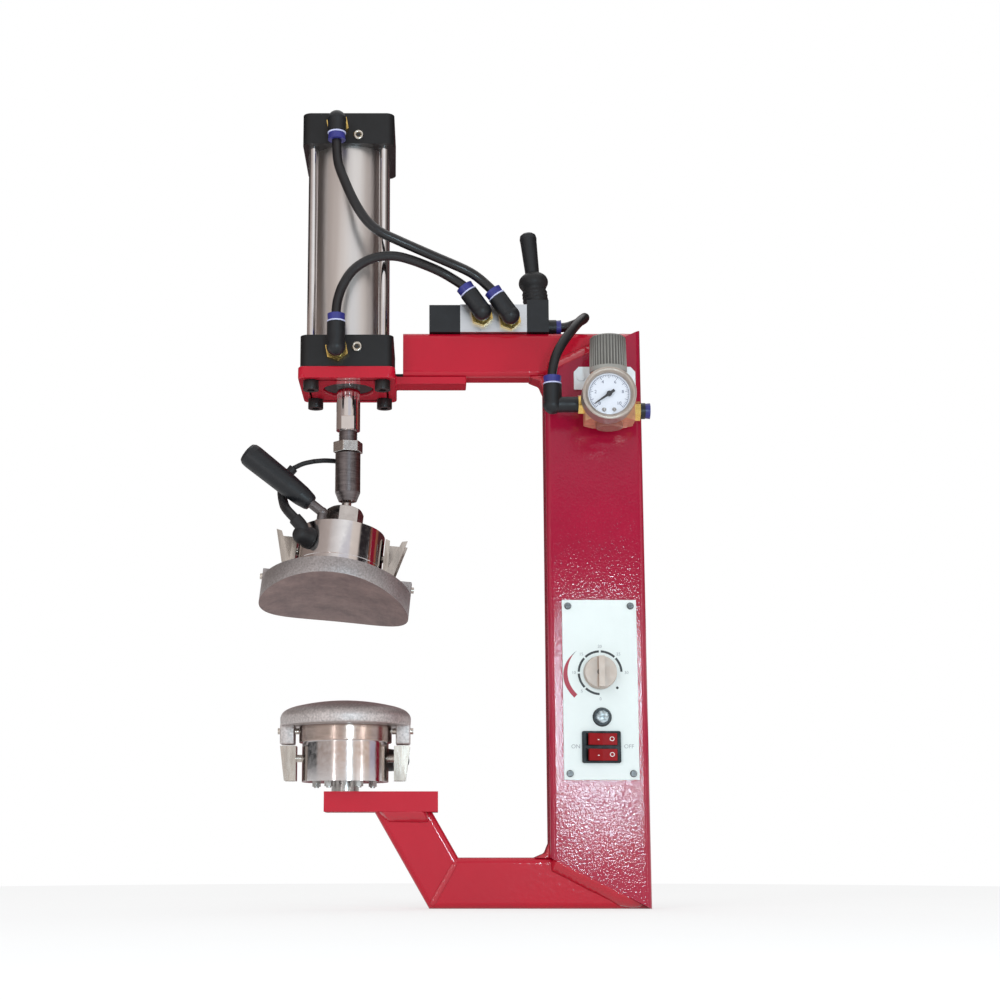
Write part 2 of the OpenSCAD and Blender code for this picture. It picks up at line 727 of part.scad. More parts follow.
module lower_cup() {
    color(steel) low_frame() difference() {
        union() {
            translate([0, 0, low_z0]) cylinder(r = cup_r, h = low_top - low_z0);
            translate([0, 0, low_seam + 0.7]) cylinder(r = cup_r + low_ring, h = low_top - low_seam - 0.7);
        }
        translate([0, 0, low_z0 + 3]) cylinder(r = cup_r - cup_wall, h = 60);
        translate([0, 0, low_seam]) difference() {
            cylinder(r = cup_r + 5, h = 0.7);
            translate([0, 0, -1]) cylinder(r = cup_r - 0.6, h = 3);
        }
        side_holes(3.1, low_top - 26);
        translate([0, 0, low_z0 - 1]) cylinder(r = 5.05, h = 6);
        for (a = [200, 240, 300, 340]) rotate(a) translate([24, 0, low_z0 - 1]) cylinder(r = 2.05, h = 6);
        translate([0, 0, low_z0 + 19]) aim([0, 0, 0], [0.82, 0.57, 0]) cylinder(r = 4, h = 60);
    }
}

module lower_plate() {
    color(grey) low_frame() difference() {
        union() {
            intersection() {
                translate([0, 0, low_top]) cylinder(r = low_r, h = 60);
                translate([0, 0, low_top + low_rim + dome_h - dome_r]) sphere(r = dome_r, $fn = 128);
            }
            intersection() {
                translate([0, 0, low_top - lug_low]) cylinder(r = low_r, h = lug_low + 1.5);
                for (s = [-1, 1]) translate([s * low_r - 12, -9, low_top - lug_low])
                    cube([24, 18, lug_low + 1.5]);
            }
        }
        for (s = [-1, 1]) translate([s * (low_r - 20), 0, low_top - 4]) rotate([0, s * 90, 0])
            cylinder(r = 2.6, h = 30);
    }
}

module lower_heater() {
    color(brass) low_frame() translate([0, 0, low_top - heater_t])
        cylinder(r = cup_r - cup_wall - 1.5, h = heater_t);
}

module lower_clips() {
    color(steel) low_frame() for (s = [0, 1]) mirror([s, 0, 0])
        clip(low_r, low_top - 4, -1, [4.5, 12.1, 28, 13, 9.5, 22]);
}

// standing stud with its spacer and nut, and the terminal screws beside it
module lower_fixings() {
    color(steel) low_frame() {
        translate([0, 0, plat_z0 + 4]) cylinder(r = 5, h = low_z0 + 8 - plat_z0 - 4);
        difference() {
            translate([0, 0, plat_z1]) cylinder(r = 11, h = low_z0 - plat_z1);
            translate([0, 0, plat_z1 - 1]) cylinder(r = 4, h = 20);
        }
        translate([0, 0, low_z0 + 3]) cylinder(d = 17 / cos(30), h = 8, $fn = 6);
        for (a = [200, 240, 300, 340]) rotate(a) translate([24, 0, 0]) {
            translate([0, 0, low_z0 - 5]) cylinder(r = 2, h = 10);
            translate([0, 0, low_z0 - 4]) cylinder(d = 7, h = 4, $fn = 6);
        }
    }
}

module valve_body() {
    color(white) difference() {
        translate([valve_x1, -valve_d / 2, frame_h]) cube([valve_x2 - valve_x1, valve_d, 24]);
        translate([valve_x1 - 1, 0, spool_z]) rotate([0, 90, 0]) cylinder(r = spool_r, h = 80);
        for (p = [port_one, port_two]) hole_y(p[0], p[2], 4.1, -valve_d / 2 - 1, -valve_d / 2 + 7);
    }
}

module valve_end() {
    color(black) difference() {
        translate([valve_x0, -valve_d / 2, frame_h]) cube([valve_x1 - valve_x0, valve_d, 23.5]);
        translate([valve_x1 - 14, 0, spool_z]) rotate([0, 90, 0]) cylinder(r = spool_r, h = 15);
    }
}

module lever_housing() {
    color(black) difference() {
        translate([valve_x2, -valve_d / 2, frame_h]) cube([valve_x3 - valve_x2, valve_d, 28]);
        translate([valve_x2 + 3, -6, frame_h + 4]) cube([valve_x3 - valve_x2 - 6, 12, 40]);
        translate([valve_x2 - 1, 0, spool_z]) rotate([0, 90, 0]) cylinder(r = 2.3, h = 6);
        hole_y(pivot[0], pivot[2], 1.55, -8, 8);
        translate([valve_x3 + 1, 0, port_valve[2]]) rotate([0, -90, 0]) cylinder(r = 2, h = 6);
    }
}

module lever_frame() {
    translate(pivot) rotate([0, lever_lean, 0]) children();
}

module lever() {
    color(black) lever_frame() {
        translate([0, 0, -tail]) sphere(r = 2.3);
        translate([0, 0, -tail]) cylinder(r = 1.8, h = tail);
        translate([0, 7.5, 0]) rotate([90, 0, 0]) cylinder(r = 1.5, h = 15);
        cylinder(r = 3, h = 40);
        rotate_extrude() polygon([[0, 33], [5.9, 33], [6.1, 36], [7, lever_len - 8], [7.3, lever_len - 5],
            [6.6, lever_len - 2], [4.6, lever_len - 0.4], [0, lever_len]]);
    }
}

module lever_boot() {
    base = frame_h + 28;
    color(black) difference() {
        lever_frame() rotate_extrude() polygon([[3.3, 0], [9, 0], [10.4, 5.5], [10.7, 9], [10.7, 15],
            [9.9, 17], [9.9, 18.5], [11.2, 21], [12.3, 23], [12.4, 26], [11.4, 29], [8.4, 31.5], [6.2, 32.5],
            [3.3, 32.5]]);
        translate([pivot[0] - 40, -40, base - 80]) cube([80, 80, 80]);
        lever_frame() rotate_extrude() polygon([[0, -5], [7, -5], [7, 12], [5.5, 16], [6.5, 26],
            [3.3, 30], [0, 30]]);
    }
}

module valve_spool() {
    color(steel) {
        translate([valve_x1 - 9, 0, spool_z]) rotate([0, 90, 0]) difference() {
            cylinder(r = spool_r - run_gap, h = 61);
            for (x = [14, 30, 46]) translate([0, 0, x]) difference() {
                cylinder(r = 20, h = 8);
                translate([0, 0, -1]) cylinder(r = 3.6, h = 10);
            }
        }
        difference() {
            union() {
                translate([valve_x2 - 5, 0, spool_z]) rotate([0, 90, 0])
                    cylinder(r = 2, h = tail_x - valve_x2 + 2);
                translate([tail_x - 3.9, -4, spool_z - 3]) cube([7.8, 8, 6]);
            }
            translate([tail_x - 2.5, -2.8, spool_z - 5]) cube([5, 5.6, 12]);
        }
    }
}

module fitting_bodies() {
    color(black) {
        for (e = ELBOWS) {
            aim(e[0] + e[1] * hex_t, e[1]) cylinder(r = elbow_r - 1.2, h = e[2] - hex_t);
            translate(corner(e)) sphere(r = elbow_r + 0.3);
            aim(corner(e), e[3]) cylinder(r = elbow_r, h = e[4]);
        }
        for (s = STRAIGHTS) translate(s[0]) rotate([0, 90, 0]) difference() {
            translate([0, 0, s[0] == port_in ? hex_t : 0])
                cylinder(r = 6.5, h = s[1] - (s[0] == port_in ? hex_t : 0));
            translate([0, 0, s[1] - 6]) cylinder(r = hose_d / 2 + 0.15, h = 10);
        }
    }
}

module brass_fittings() {
    color(brass) {
        for (e = ELBOWS) aim(e[0], e[1]) {
            rotate(10) cylinder(d = (e[0] == port_reg ? hex_small : hex_af) / cos(30), h = hex_t, $fn = 6);
            translate([0, 0, -6]) cylinder(r = 3.9, h = 7);
        }
        translate(port_in) rotate([0, 90, 0]) cylinder(d = hex_small / cos(30), h = hex_t, $fn = 6);
        for (z = cushion_z) translate([press_x + 8.5, -cap_w / 2, z]) rotate([90, 0, 0])
            difference() {
                union() {
                    translate([0, 0, -5]) cylinder(r = 2.9, h = 6);
                    cylinder(r = 4, h = 1.6);
                }
                translate([-5, -0.5, 0.8]) cube([10, 1, 2]);
            }
    }
}

module fitting_collars() {
    color(blue) {
        for (e = ELBOWS) aim(outlet(e), e[3]) collar(elbow_r - 0.8, elbow_r - 0.3, collar_t);
        for (s = STRAIGHTS) translate(s[0] + [s[1], 0, 0]) rotate([0, 90, 0]) collar(6, 6.4, short_t);
    }
}

module collar(r1, r2, t) {
    difference() {
        cylinder(r1 = r1, r2 = r2, h = t);
        translate([0, 0, -1]) cylinder(r = hose_d / 2 + 0.15, h = t + 2);
    }
}

module hose_rear() {
    color(black) tube_along(follow(HOSE_REAR, outlet(ELBOWS[0]), outlet(ELBOWS[3])), hose_d / 2, 10);
}

module hose_front() {
    color(black) tube_along(follow(HOSE_FRONT, outlet(ELBOWS[1]), outlet(ELBOWS[2])), hose_d / 2, 10);
}

module hose_supply() {
    color(black) tube_along(follow(HOSE_SUPPLY, outlet(ELBOWS[4]), port_valve + [7, 0, 0]), hose_d / 2, 10);
}

module regulator_body() {
    color(brass) difference() {
        union() {
            translate([reg_x, reg_y, reg_z0]) linear_extrude(reg_z1 - reg_z0)
                polygon([[-20, -10], [-12, -18], [12, -18], [20, -10], [20, 10], [12, 18], [-12, 18],
                    [-20, 10]]);
            translate([reg_x, reg_y, reg_z1 - 1]) cylinder(r = 15, h = shelf_z - reg_z1 + 1);
            translate([reg_x, reg_y, shelf_z - 1]) cylinder(r = 13, h = 5);
            translate([reg_x, reg_y, shelf_z + 2]) cylinder(r = 14.6, h = knob_z0 - shelf_z - 2.2);
            translate([reg_x, reg_y, shelf_z]) cylinder(r = 4, h = knob_z1 - 7 - shelf_z);
        }
        translate([port_reg[0] - 1, reg_y, port_reg[2]]) rotate([0, 90, 0]) cylinder(r = 4, h = 8);
        translate([gauge_x, reg_y - 12, gauge_z]) rotate([90, 0, 0]) cylinder(r = 5, h = 20);
    }
}

module regulator_knob() {
    color(grey) translate([reg_x, reg_y, 0]) difference() {
        rotate_extrude() polygon([[0, knob_z0], [reg_knob_d / 2 - 0.6, knob_z0],
            [reg_knob_d / 2, knob_z0 + 1],
            [reg_knob_d / 2 - 0.6, knob_z1 - 1.2], [reg_knob_d / 2 - 1.8, knob_z1], [0, knob_z1]]);
        translate([0, 0, knob_z0 - 1]) cylinder(r = 4 + run_gap, h = 25);
        for (a = [0 : 10 : 359]) rotate(a) translate([reg_knob_d / 2 + 0.5, 0, knob_z0 + 4])
            cylinder(r = 1.32, h = 40, $fn = 24);
    }
}

module regulator_bracket() {
    y0 = -post_d / 2;
    color(white) {
        difference() {
            union() {
                translate([reg_x, y0, shelf_z]) rotate([90, 0, 0]) linear_extrude(2)
                    polygon([[-25.5, 0], [25.5, 0], [25.5, 15], [21.5, 19.3], [-21.5, 19.3], [-25.5, 15]]);
                translate([reg_x - 17, reg_y, shelf_z]) cube([34, y0 - reg_y - 1, 2]);
                translate([reg_x, reg_y, shelf_z]) cylinder(r = 17, h = 2);
            }
            translate([reg_x, reg_y, shelf_z - 1]) cylinder(r = 13.1, h = 4);
            for (sx = [-1, 1]) hole_y(reg_x + sx * 20, screw_z, 2, y0 - 3, y0 + 1);
        }
        for (sx = [-1, 1]) {
            hole_y(reg_x + sx * 20, screw_z, 1.9, y0 - 3, y0 + 5);
            hole_y(reg_x + sx * 20, screw_z, 3.6, y0 - 4, y0 - 2);
        }
    }
}

module drain_cap() {
    color(grey) translate([reg_x, reg_y, reg_z0 - 4.5]) {
        cylinder(r1 = 10.2, r2 = 11, h = 1);
        translate([0, 0, 1]) cylinder(r = 11, h = 3.5);
    }
}

module gauge_case() {
    color(steel) translate([gauge_x, 0, gauge_z]) rotate([90, 0, 0]) difference() {
        union() {
            translate([0, 0, -gauge_y1]) cylinder(d = gauge_d, h = gauge_y1 - gauge_y0);
            translate([0, 0, -reg_y + 13]) cylinder(r = 4.9, h = 9);
        }
        translate([0, 0, -gauge_y0 - 4]) cylinder(r = gauge_d / 2 - 2, h = 10);
        translate([0, 0, -gauge_y0 - 8]) cylinder(r = 0.9, h = 10);
    }
}

module gauge_needle() {
    color(black) translate([gauge_x, gauge_y0, gauge_z]) rotate([90, 0, 0]) {
        translate([0, 0, -6]) cylinder(r = 0.8, h = 4);
        translate([0, 0, -3.2]) cylinder(r = 2.2, h = 1.6);
        rotate(215) translate([0, 0, -2.8]) linear_extrude(0.8)
            polygon([[-5, -1.1], [0, -1.1], [14.5, -0.3], [14.5, 0.3], [0, 1.1], [-5, 1.1]]);
    }
}

module panel() {
    color(white) difference() {
        translate([panel_x - panel_w / 2, panel_y1, panel_z0]) cube([panel_w, panel_t, panel_h]);
        hole_y(panel_x, timer_z, 4, panel_y1 - 1, panel_y + 1);
        hole_y(panel_x + 1, lamp_z, 5, panel_y1 - 1, panel_y + 1);
        translate([panel_x - 14, panel_y1 - 1, switch_z - 12.2]) cube([28, panel_t + 2, 24.4]);
        for (sx = [-1, 1], sz = [-1, 1])
            hole_y(panel_x + sx * screw_dx, panel_cz + sz * screw_dz, 2, panel_y1 - 1, panel_y + 1);
    }
}

module panel_screws() {
    color(steel) for (sx = [-1, 1], sz = [-1, 1])
        translate([panel_x + sx * screw_dx, panel_y1, panel_cz + sz * screw_dz]) rotate([90, 0, 0])
            difference() {
                union() {
                    cylinder(r1 = 2.9, r2 = 2.2, h = 1.8);
                    translate([0, 0, -7]) cylinder(r = 1.9, h = 8);
                }
                for (a = [0, 90]) rotate(a) translate([-1.6, -0.3, 0.9]) cube([3.2, 0.6, 2]);
            }
}

module timer_knob() {
    color(grey) translate([panel_x, panel_y1, timer_z]) rotate([90, 0, 0]) difference() {
        union() {
            translate([0, 0, 0.6]) cylinder(r1 = timer_d / 2, r2 = timer_d / 2 - 0.8, h = 8);
            translate([-2.3, -timer_d / 2 + 1.2, 4]) cube([4.6, timer_d - 2.4, 11.5]);
        }
        translate([0, 0, -1]) cylinder(r = 3 + run_gap, h = 11);
    }
}

module timer_body() {
    color(black) translate([panel_x, panel_y, timer_z]) {
        translate([-17, 0, -17]) cube([34, 26, 34]);
        translate([0, 1, 0]) rotate([90, 0, 0]) cylinder(r = 3, h = 11);
        translate([0, 1, 0]) rotate([90, 0, 0]) cylinder(r = 3.9, h = 1 + panel_t);
    }
}

module pilot_lamp() {
    color(white) translate([panel_x + 1, panel_y1, lamp_z]) rotate([90, 0, 0]) {
        cylinder(r1 = 7.7, r2 = 6.6, h = 2.4);
        translate([0, 0, -16]) cylinder(r = 4.9, h = 17);
        intersection() {
            translate([0, 0, -2]) sphere(r = 7);
            cylinder(r = 4.8, h = 10);
        }
    }
}

module switch_frame() {
    color(black) translate([panel_x, panel_y1, switch_z]) rotate([90, 0, 0]) difference() {
        union() {
            linear_extrude(2) rounded(switch_w, switch_h, 1.5);
            translate([-13.8, -11.1, -24]) cube([27.6, 22.2, 25]);
        }
        for (s = [-1, 1]) {
            translate([-12.7, s * rocker_dz - rocker_h / 2 - 0.3, -4]) cube([25.4, rocker_h + 0.6, 10]);
            translate([0, s * rocker_dz + 6, 0]) rotate([90, 0, 0]) cylinder(r = 1.3, h = 12, $fn = 24);
        }
    }
}

module rocker(s) {
    translate([panel_x, panel_y1, switch_z + s * rocker_dz]) rotate([0, 0, rocker_tilt]) {
        translate([0, 0, -rocker_h / 2]) linear_extrude(rocker_h)
            polygon([[-11.5, -5.5], [0, -3.05], [11.5, -5.5], [11.5, -2.5], [4, 2.5], [-4, 2.5],
                [-11.5, -2.5]]);
        translate([0, 0, -5.8]) cylinder(r = 1.25, h = 11.6, $fn = 24);
    }
}

module rocker_upper() {
    color(red) rocker(1);
}

module rocker_lower() {
    color(red) rocker(-1);
}

post();
upper_arm();
base_bar();
strut();
platform();
cylinder_plate();
weld_beads();
front_cap();
rear_cap();
barrel();
tie_rods();
mount_bolts();
piston();
piston_rod();
lock_nut();
ball_coupling();
ball_race();
swivel_ball();
hex_boss();
upper_cup();
upper_plate();
upper_heater();
upper_clips();
handle_rod();
handle_grip();
upper_boot();
upper_lead();
lead_riser();
cable_glands();
lower_cup();
lower_plate();
lower_heater();
lower_clips();
lower_fixings();
valve_body();
valve_end();
lever_housing();
lever();
lever_boot();
valve_spool();
fitting_bodies();
brass_fittings();
fitting_collars();
hose_rear();
hose_front();
hose_supply();
regulator_body();
regulator_knob();
regulator_bracket();
drain_cap();
gauge_case();
gauge_needle();
panel();
panel_screws();
timer_knob();
timer_body();
pilot_lamp();
switch_frame();
rocker_upper();
rocker_lower();
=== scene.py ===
"""Looks of the pneumatic tyre patch press: cords, materials, printed marks, light and camera.

Everything is in metres in the frame of the CAD model: +X right, +Y away from the viewer, +Z up.
"""
import math

import bmesh
import bpy
from mathutils import Matrix, Vector


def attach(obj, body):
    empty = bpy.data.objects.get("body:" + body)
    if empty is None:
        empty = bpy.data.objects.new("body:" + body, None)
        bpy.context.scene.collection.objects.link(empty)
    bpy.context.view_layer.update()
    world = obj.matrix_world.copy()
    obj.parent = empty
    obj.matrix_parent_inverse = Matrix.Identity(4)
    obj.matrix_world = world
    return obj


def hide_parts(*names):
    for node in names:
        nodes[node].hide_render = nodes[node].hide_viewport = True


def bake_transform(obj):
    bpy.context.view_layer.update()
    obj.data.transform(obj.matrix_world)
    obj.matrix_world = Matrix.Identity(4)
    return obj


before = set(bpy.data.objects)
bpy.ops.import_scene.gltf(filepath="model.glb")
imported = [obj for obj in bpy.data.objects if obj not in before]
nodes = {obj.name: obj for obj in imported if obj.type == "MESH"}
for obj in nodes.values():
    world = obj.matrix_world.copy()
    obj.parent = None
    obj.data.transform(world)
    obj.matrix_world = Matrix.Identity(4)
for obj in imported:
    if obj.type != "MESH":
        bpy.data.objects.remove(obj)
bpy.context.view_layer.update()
scene = bpy.context.scene
scene.view_settings.view_transform = "Standard"

# Sizes shared by several pieces
PRESS_X = -0.156
BALL = Vector((PRESS_X, 0.0, 0.337))
SIDE_TILT = math.radians(5.5)
FRONT_TILT = math.radians(11.0)
HEAD = (Matrix.Translation(BALL) @ Matrix.Rotation(SIDE_TILT, 4, "Y")
        @ Matrix.Rotation(-FRONT_TILT, 4, "X"))
PANEL_X = 0.0495
PANEL_Y = -0.022
TIMER_Z = 0.1865
LAMP_X, LAMP_Z = 0.0505, 0.1509
SWITCH_Z = 0.1269
ROCKER_DZ = 0.0062
GAUGE = Vector((0.0545, -0.086, 0.4016))
KNOB_X, KNOB_Y = 0.0575, -0.05
KNOB_R = 0.01525
HOSE_R = 0.004
SLEEVE_R = 0.004
WIRE_R = 0.002
LEVER_PIVOT = Vector((0.0032, 0.0, 0.497))
LEVER_LEAN = math.radians(-6.0)
POST_LEFT, POST_RIGHT = 0.008, 0.088
BAR_TOP, ARM_BOTTOM = 0.04, 0.436
BAR_HALF = 0.0125
PRESS_AXIS = Matrix.Translation((PRESS_X, 0, 0))
PRINT_GAP = 0.0001


# Colour and material helpers
def srgb(red, green, blue):
    """Linear colour of an 0 to 255 screen colour."""
    def line(value):
        value = value / 255
        return value / 12.92 if value <= 0.04045 else ((value + 0.055) / 1.055) ** 2.4
    return line(red), line(green), line(blue), 1.0


def shade(colour, factor):
    return tuple(min(1.0, c * factor) for c in colour[:3]) + (1.0,)


def add(tree, kind, **values):
    """A new node, with the named sockets set."""
    node = tree.nodes.new(kind)
    for name, value in values.items():
        node.inputs[name.replace("_", " ")].default_value = value
    return node


def noise(tree, vector, scale, detail=4.0, rough=0.55):
    node = add(tree, "ShaderNodeTexNoise", Scale=scale, Detail=detail, Roughness=rough)
    tree.links.new(vector, node.inputs["Vector"])
    return node.outputs["Fac"]


def mix(tree, factor, first, second):
    """A colour mixed from two colours or sockets by a socket."""
    node = tree.nodes.new("ShaderNodeMix")
    node.data_type = "RGBA"
    tree.links.new(factor, node.inputs[0])
    for socket, value in ((node.inputs[6], first), (node.inputs[7], second)):
        if isinstance(value, tuple):
            socket.default_value = value
        else:
            tree.links.new(value, socket)
    return node.outputs[2]


def ramp(tree, value, low, high, to_low=0.0, to_high=1.0):
    """A value stretched from one range to another."""
    node = tree.nodes.new("ShaderNodeMapRange")
    tree.links.new(value, node.inputs["Value"])
    for name, number in (("From Min", low), ("From Max", high), ("To Min", to_low), ("To Max", to_high)):
        node.inputs[name].default_value = number
    return node.outputs["Result"]


def surface(name, colour, rough=0.4, metal=0.0, coat=0.0, coat_rough=0.1, vary=0.12, vary_scale=40.0,
            bump=0.0, bump_scale=400.0, bump_detail=3.0, stretch=(1, 1, 1), rough_vary=0.06, specular=0.5):
    """A material whose colour, roughness and relief all vary with noise in the object's own space."""
    material = bpy.data.materials.new(name)
    material.use_nodes = True
    tree = material.node_tree
    shader = tree.nodes["Principled BSDF"]
    place = tree.nodes.new("ShaderNodeTexCoord")
    spread = add(tree, "ShaderNodeMapping", Scale=stretch)
    tree.links.new(place.outputs["Object"], spread.inputs["Vector"])
    vector = spread.outputs["Vector"]
    blotch = ramp(tree, noise(tree, vector, vary_scale), 0.3, 0.7)
    tint = mix(tree, blotch, shade(colour, 1 - vary), shade(colour, 1 + vary))
    tree.links.new(tint, shader.inputs["Base Color"])
    gloss = ramp(tree, noise(tree, vector, vary_scale * 2.3, 6.0), 0.3, 0.7,
                 max(0.02, rough - rough_vary), min(1.0, rough + rough_vary))
    tree.links.new(gloss, shader.inputs["Roughness"])
    shader.inputs["Metallic"].default_value = metal
    shader.inputs["Specular IOR Level"].default_value = specular
    shader.inputs["Coat Weight"].default_value = coat
    shader.inputs["Coat Roughness"].default_value = coat_rough
    if bump:
        relief = add(tree, "ShaderNodeBump", Strength=1.0, Distance=bump)
        tree.links.new(noise(tree, vector, bump_scale, bump_detail), relief.inputs["Height"])
        tree.links.new(relief.outputs["Normal"], shader.inputs["Normal"])
        tree.links.new(relief.outputs["Normal"], shader.inputs["Coat Normal"])
    return material


# Mesh helpers
def link(name, data, material, body):
    """An object of the part, on its body and with its material."""
    obj = bpy.data.objects.new(name, data)
    scene.collection.objects.link(obj)
    data.materials.append(material)
    if body:
        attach(obj, body)
    return obj


def mesh_of(name, points, faces, smooth=True):
    data = bpy.data.meshes.new(name)
    data.from_pydata([tuple(p) for p in points], [], faces)
    data.update()
    work = bmesh.new()
    work.from_mesh(data)
    bmesh.ops.recalc_face_normals(work, faces=work.faces)
    work.to_mesh(data)
    work.free()
    data.polygons.foreach_set("use_smooth", [smooth] * len(data.polygons))
    return data


def piece(name, form, material, body, smooth=True):
    """A piece of the part from points and faces."""
    return link(name, mesh_of(name, *form, smooth), material, body)


def run_length(line):
    return sum((b - a).length for a, b in zip(line, line[1:]))


def spline_points(points, steps):
    """Points on a smooth curve through the given ones."""
    points = [Vector(p) for p in points]
    first = points[0] * 2 - points[1]
    last = points[-1] * 2 - points[-2]
    chain = [first] + points + [last]
    out = []
    for i in range(1, len(chain) - 2):
        a, b, c, d = chain[i - 1:i + 3]
        for k in range(steps):
            t = k / steps
            out.append(0.5 * (2 * b + (c - a) * t + (2 * a - 5 * b + 4 * c - d) * t * t
                              + (3 * b - a - 3 * c + d) * t ** 3))
    out.append(points[-1])
    return out


LEAST_R = 0.00002


def lathe(profile, sides, place=Matrix.Identity(4), steps=3):
    """Points and faces of a turned form from a list of radius and height."""
    line = spline_points([(r, 0, z) for r, z in profile], steps)
    points, faces = [], []
    for p in line:
        for k in range(sides):
            turn = 2 * math.pi * k / sides
            reach = max(p.x, LEAST_R)
            points.append(place @ Vector((reach * math.cos(turn), reach * math.sin(turn), p.z)))
    for i in range(len(line) - 1):
        for k in range(sides):
            n = (k + 1) % sides
            faces.append((i * sides + k, i * sides + n, (i + 1) * sides + n, (i + 1) * sides + k))
    return points, faces


def tube(line, radius, sides=20):
    """Points and faces of a round closed tube along a line of points."""
    points, faces = [], []
    side = None
    for i, p in enumerate(line):
        ahead = (line[min(i + 1, len(line) - 1)] - line[max(i - 1, 0)]).normalized()
        if side is None:
            side = ahead.orthogonal()
        side = (side - ahead * side.dot(ahead)).normalized()
        across = ahead.cross(side)
        for k in range(sides):
            turn = 2 * math.pi * k / sides
            points.append(p + (side * math.cos(turn) + across * math.sin(turn)) * radius)
    for i in range(len(line) - 1):
        for k in range(sides):
            n = (k + 1) % sides
            faces.append((i * sides + k, i * sides + n, (i + 1) * sides + n, (i + 1) * sides + k))
    faces.append(tuple(range(sides)))
    faces.append(tuple(range((len(line) - 1) * sides, len(line) * sides)))
    return points, faces


def merge(*forms):
    """Several lists of points and faces as one."""
    points, faces = [], []
    for more_points, more_faces in forms:
        faces += [tuple(i + len(points) for i in face) for face in more_faces]
        points += more_points
    return points, faces


WELD_STEP = 0.0006
WELD_RIPPLE = 0.0058
WELD_SUNK = 0.0006
WELD_END = 0.0003


def weld(start, along, length, side_a, side_b, wide_a, wide_b, bulge=0.45, taper=(0.004, 0.004), seed=0.0):
    """Points and faces of a rippled weld bead in the corner between two faces."""
    start, along = Vector(start), Vector(along).normalized()
    side_a, side_b = Vector(side_a), Vector(side_b)
    count = max(8, int(length / WELD_STEP))
    around = 10
    ring = around + 2
    points, faces = [], []
    for i in range(count + 1):
        run = length * i / count
        ends = min(1.0, (run + WELD_END) / taper[0], (length - run + WELD_END) / taper[1])
        wobble = 0.015 * math.sin(run * 190 + seed) + 0.008 * math.sin(run * 530 + 2 * seed)
        swell = math.sqrt(ends) * (1 + wobble)
        spine = start + along * run
        points.append(spine - (side_a + side_b) * WELD_SUNK)
        for k in range(around + 1):
            turn = math.pi / 2 * k / around
            chord = 1 / (math.cos(turn) + math.sin(turn))
            wave = 0.5 + 0.5 * math.cos(2 * math.pi * (run / WELD_RIPPLE - 0.7 * math.sin(2 * turn)) + seed)
            reach = swell * (chord + (1 - chord) * bulge) * (1 - 0.03 * math.sin(2 * turn) * wave)
            points.append(spine + side_a * (wide_a * math.cos(turn) * reach)
                          + side_b * (wide_b * math.sin(turn) * reach))
    for i in range(count):
        for k in range(ring):
            n = (k + 1) % ring
            faces.append((i * ring + k, i * ring + n, (i + 1) * ring + n, (i + 1) * ring + k))
    faces.append(tuple(range(ring)))
    faces.append(tuple(range(count * ring, (count + 1) * ring)))
    return points, faces


def on_circle(centre, radius, turn, y):
    """A point on a circle that faces the viewer, at a clock angle in radians."""
    return Vector((centre[0] + radius * math.sin(turn), y, centre[1] + radius * math.cos(turn)))


def arc_band(centre, inner, outer, start, end, y, count=24):
    """Points and faces of a flat band facing the viewer, between two clock angles in degrees."""
    points, faces = [], []
    for i in range(count + 1):
        share = i / count
        turn = math.radians(start + (end - start) * share)
        for radius in (inner(share), outer(share)):
            points.append(on_circle(centre, radius, turn, y))
    for i in range(count):
        faces.append((2 * i, 2 * i + 1, 2 * i + 3, 2 * i + 2))
    return points, faces


def disc(centre, radius, y, sides=48):
    points = [on_circle(centre, radius, 2 * math.pi * k / sides, y) for k in range(sides)]
    return points, [tuple(range(sides))]


def mark(name, words, place, size, material, body):
    """Printed letters or numbers, facing the viewer."""
    data = bpy.data.curves.new(name, "FONT")
    data.body = words
    data.size = size
    data.align_x = "CENTER"
    data.align_y = "CENTER"
    data.resolution_u = 3
    obj = link(name, data, material, None)
    obj.matrix_world = place @ Matrix.Rotation(math.pi / 2, 4, "X")
    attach(obj, body)
    return obj


def soften(width, *names):
    """Rounded edges on CAD nodes."""
    for name in names:
        weld_up = nodes[name].modifiers.new("weld", "WELD")
        weld_up.merge_threshold = 0.000002
        edge = nodes[name].modifiers.new("edges", "BEVEL")
        edge.width = width
        edge.segments = 3
        edge.limit_method = "ANGLE"
        edge.angle_limit = math.radians(35)
        edge.harden_normals = True


def aimed(place, direction):
    """A matrix at a place, with its Z axis along a direction."""
    return Matrix.Translation(place) @ Vector(direction).to_track_quat("Z", "Y").to_matrix().to_4x4()


def cord(name, points, radius, material, steps=4):
    """A round cord through the points, as a curve of one open spline."""
    line = spline_points([Vector(p) / 1000 for p in points], steps)
    data = bpy.data.curves.new(name, "CURVE")
    data.dimensions = "3D"
    data.bevel_depth = radius
    data.bevel_resolution = 5
    data.use_fill_caps = True
    run = data.splines.new("POLY")
    run.points.add(len(line) - 1)
    for point, p in zip(run.points, line):
        point.co = (*p, 1.0)
    run.use_smooth = True
    obj = link(name, data, material, None)
    return obj, line, run_length(line)


# Camera, from the photograph's own perspective
lens = bpy.data.cameras.new("camera")
lens.sensor_width = 36.0
lens.lens = 61.2
lens.shift_x = 0.07
lens.shift_y = 0.052
lens.clip_start = 0.01
camera = bpy.data.objects.new("camera", lens)
camera.location = (-0.0874, -1.386, 0.0446)
camera.rotation_euler = (math.radians(100.0), 0.0, 0.0)
scene.collection.objects.link(camera)
scene.camera = camera

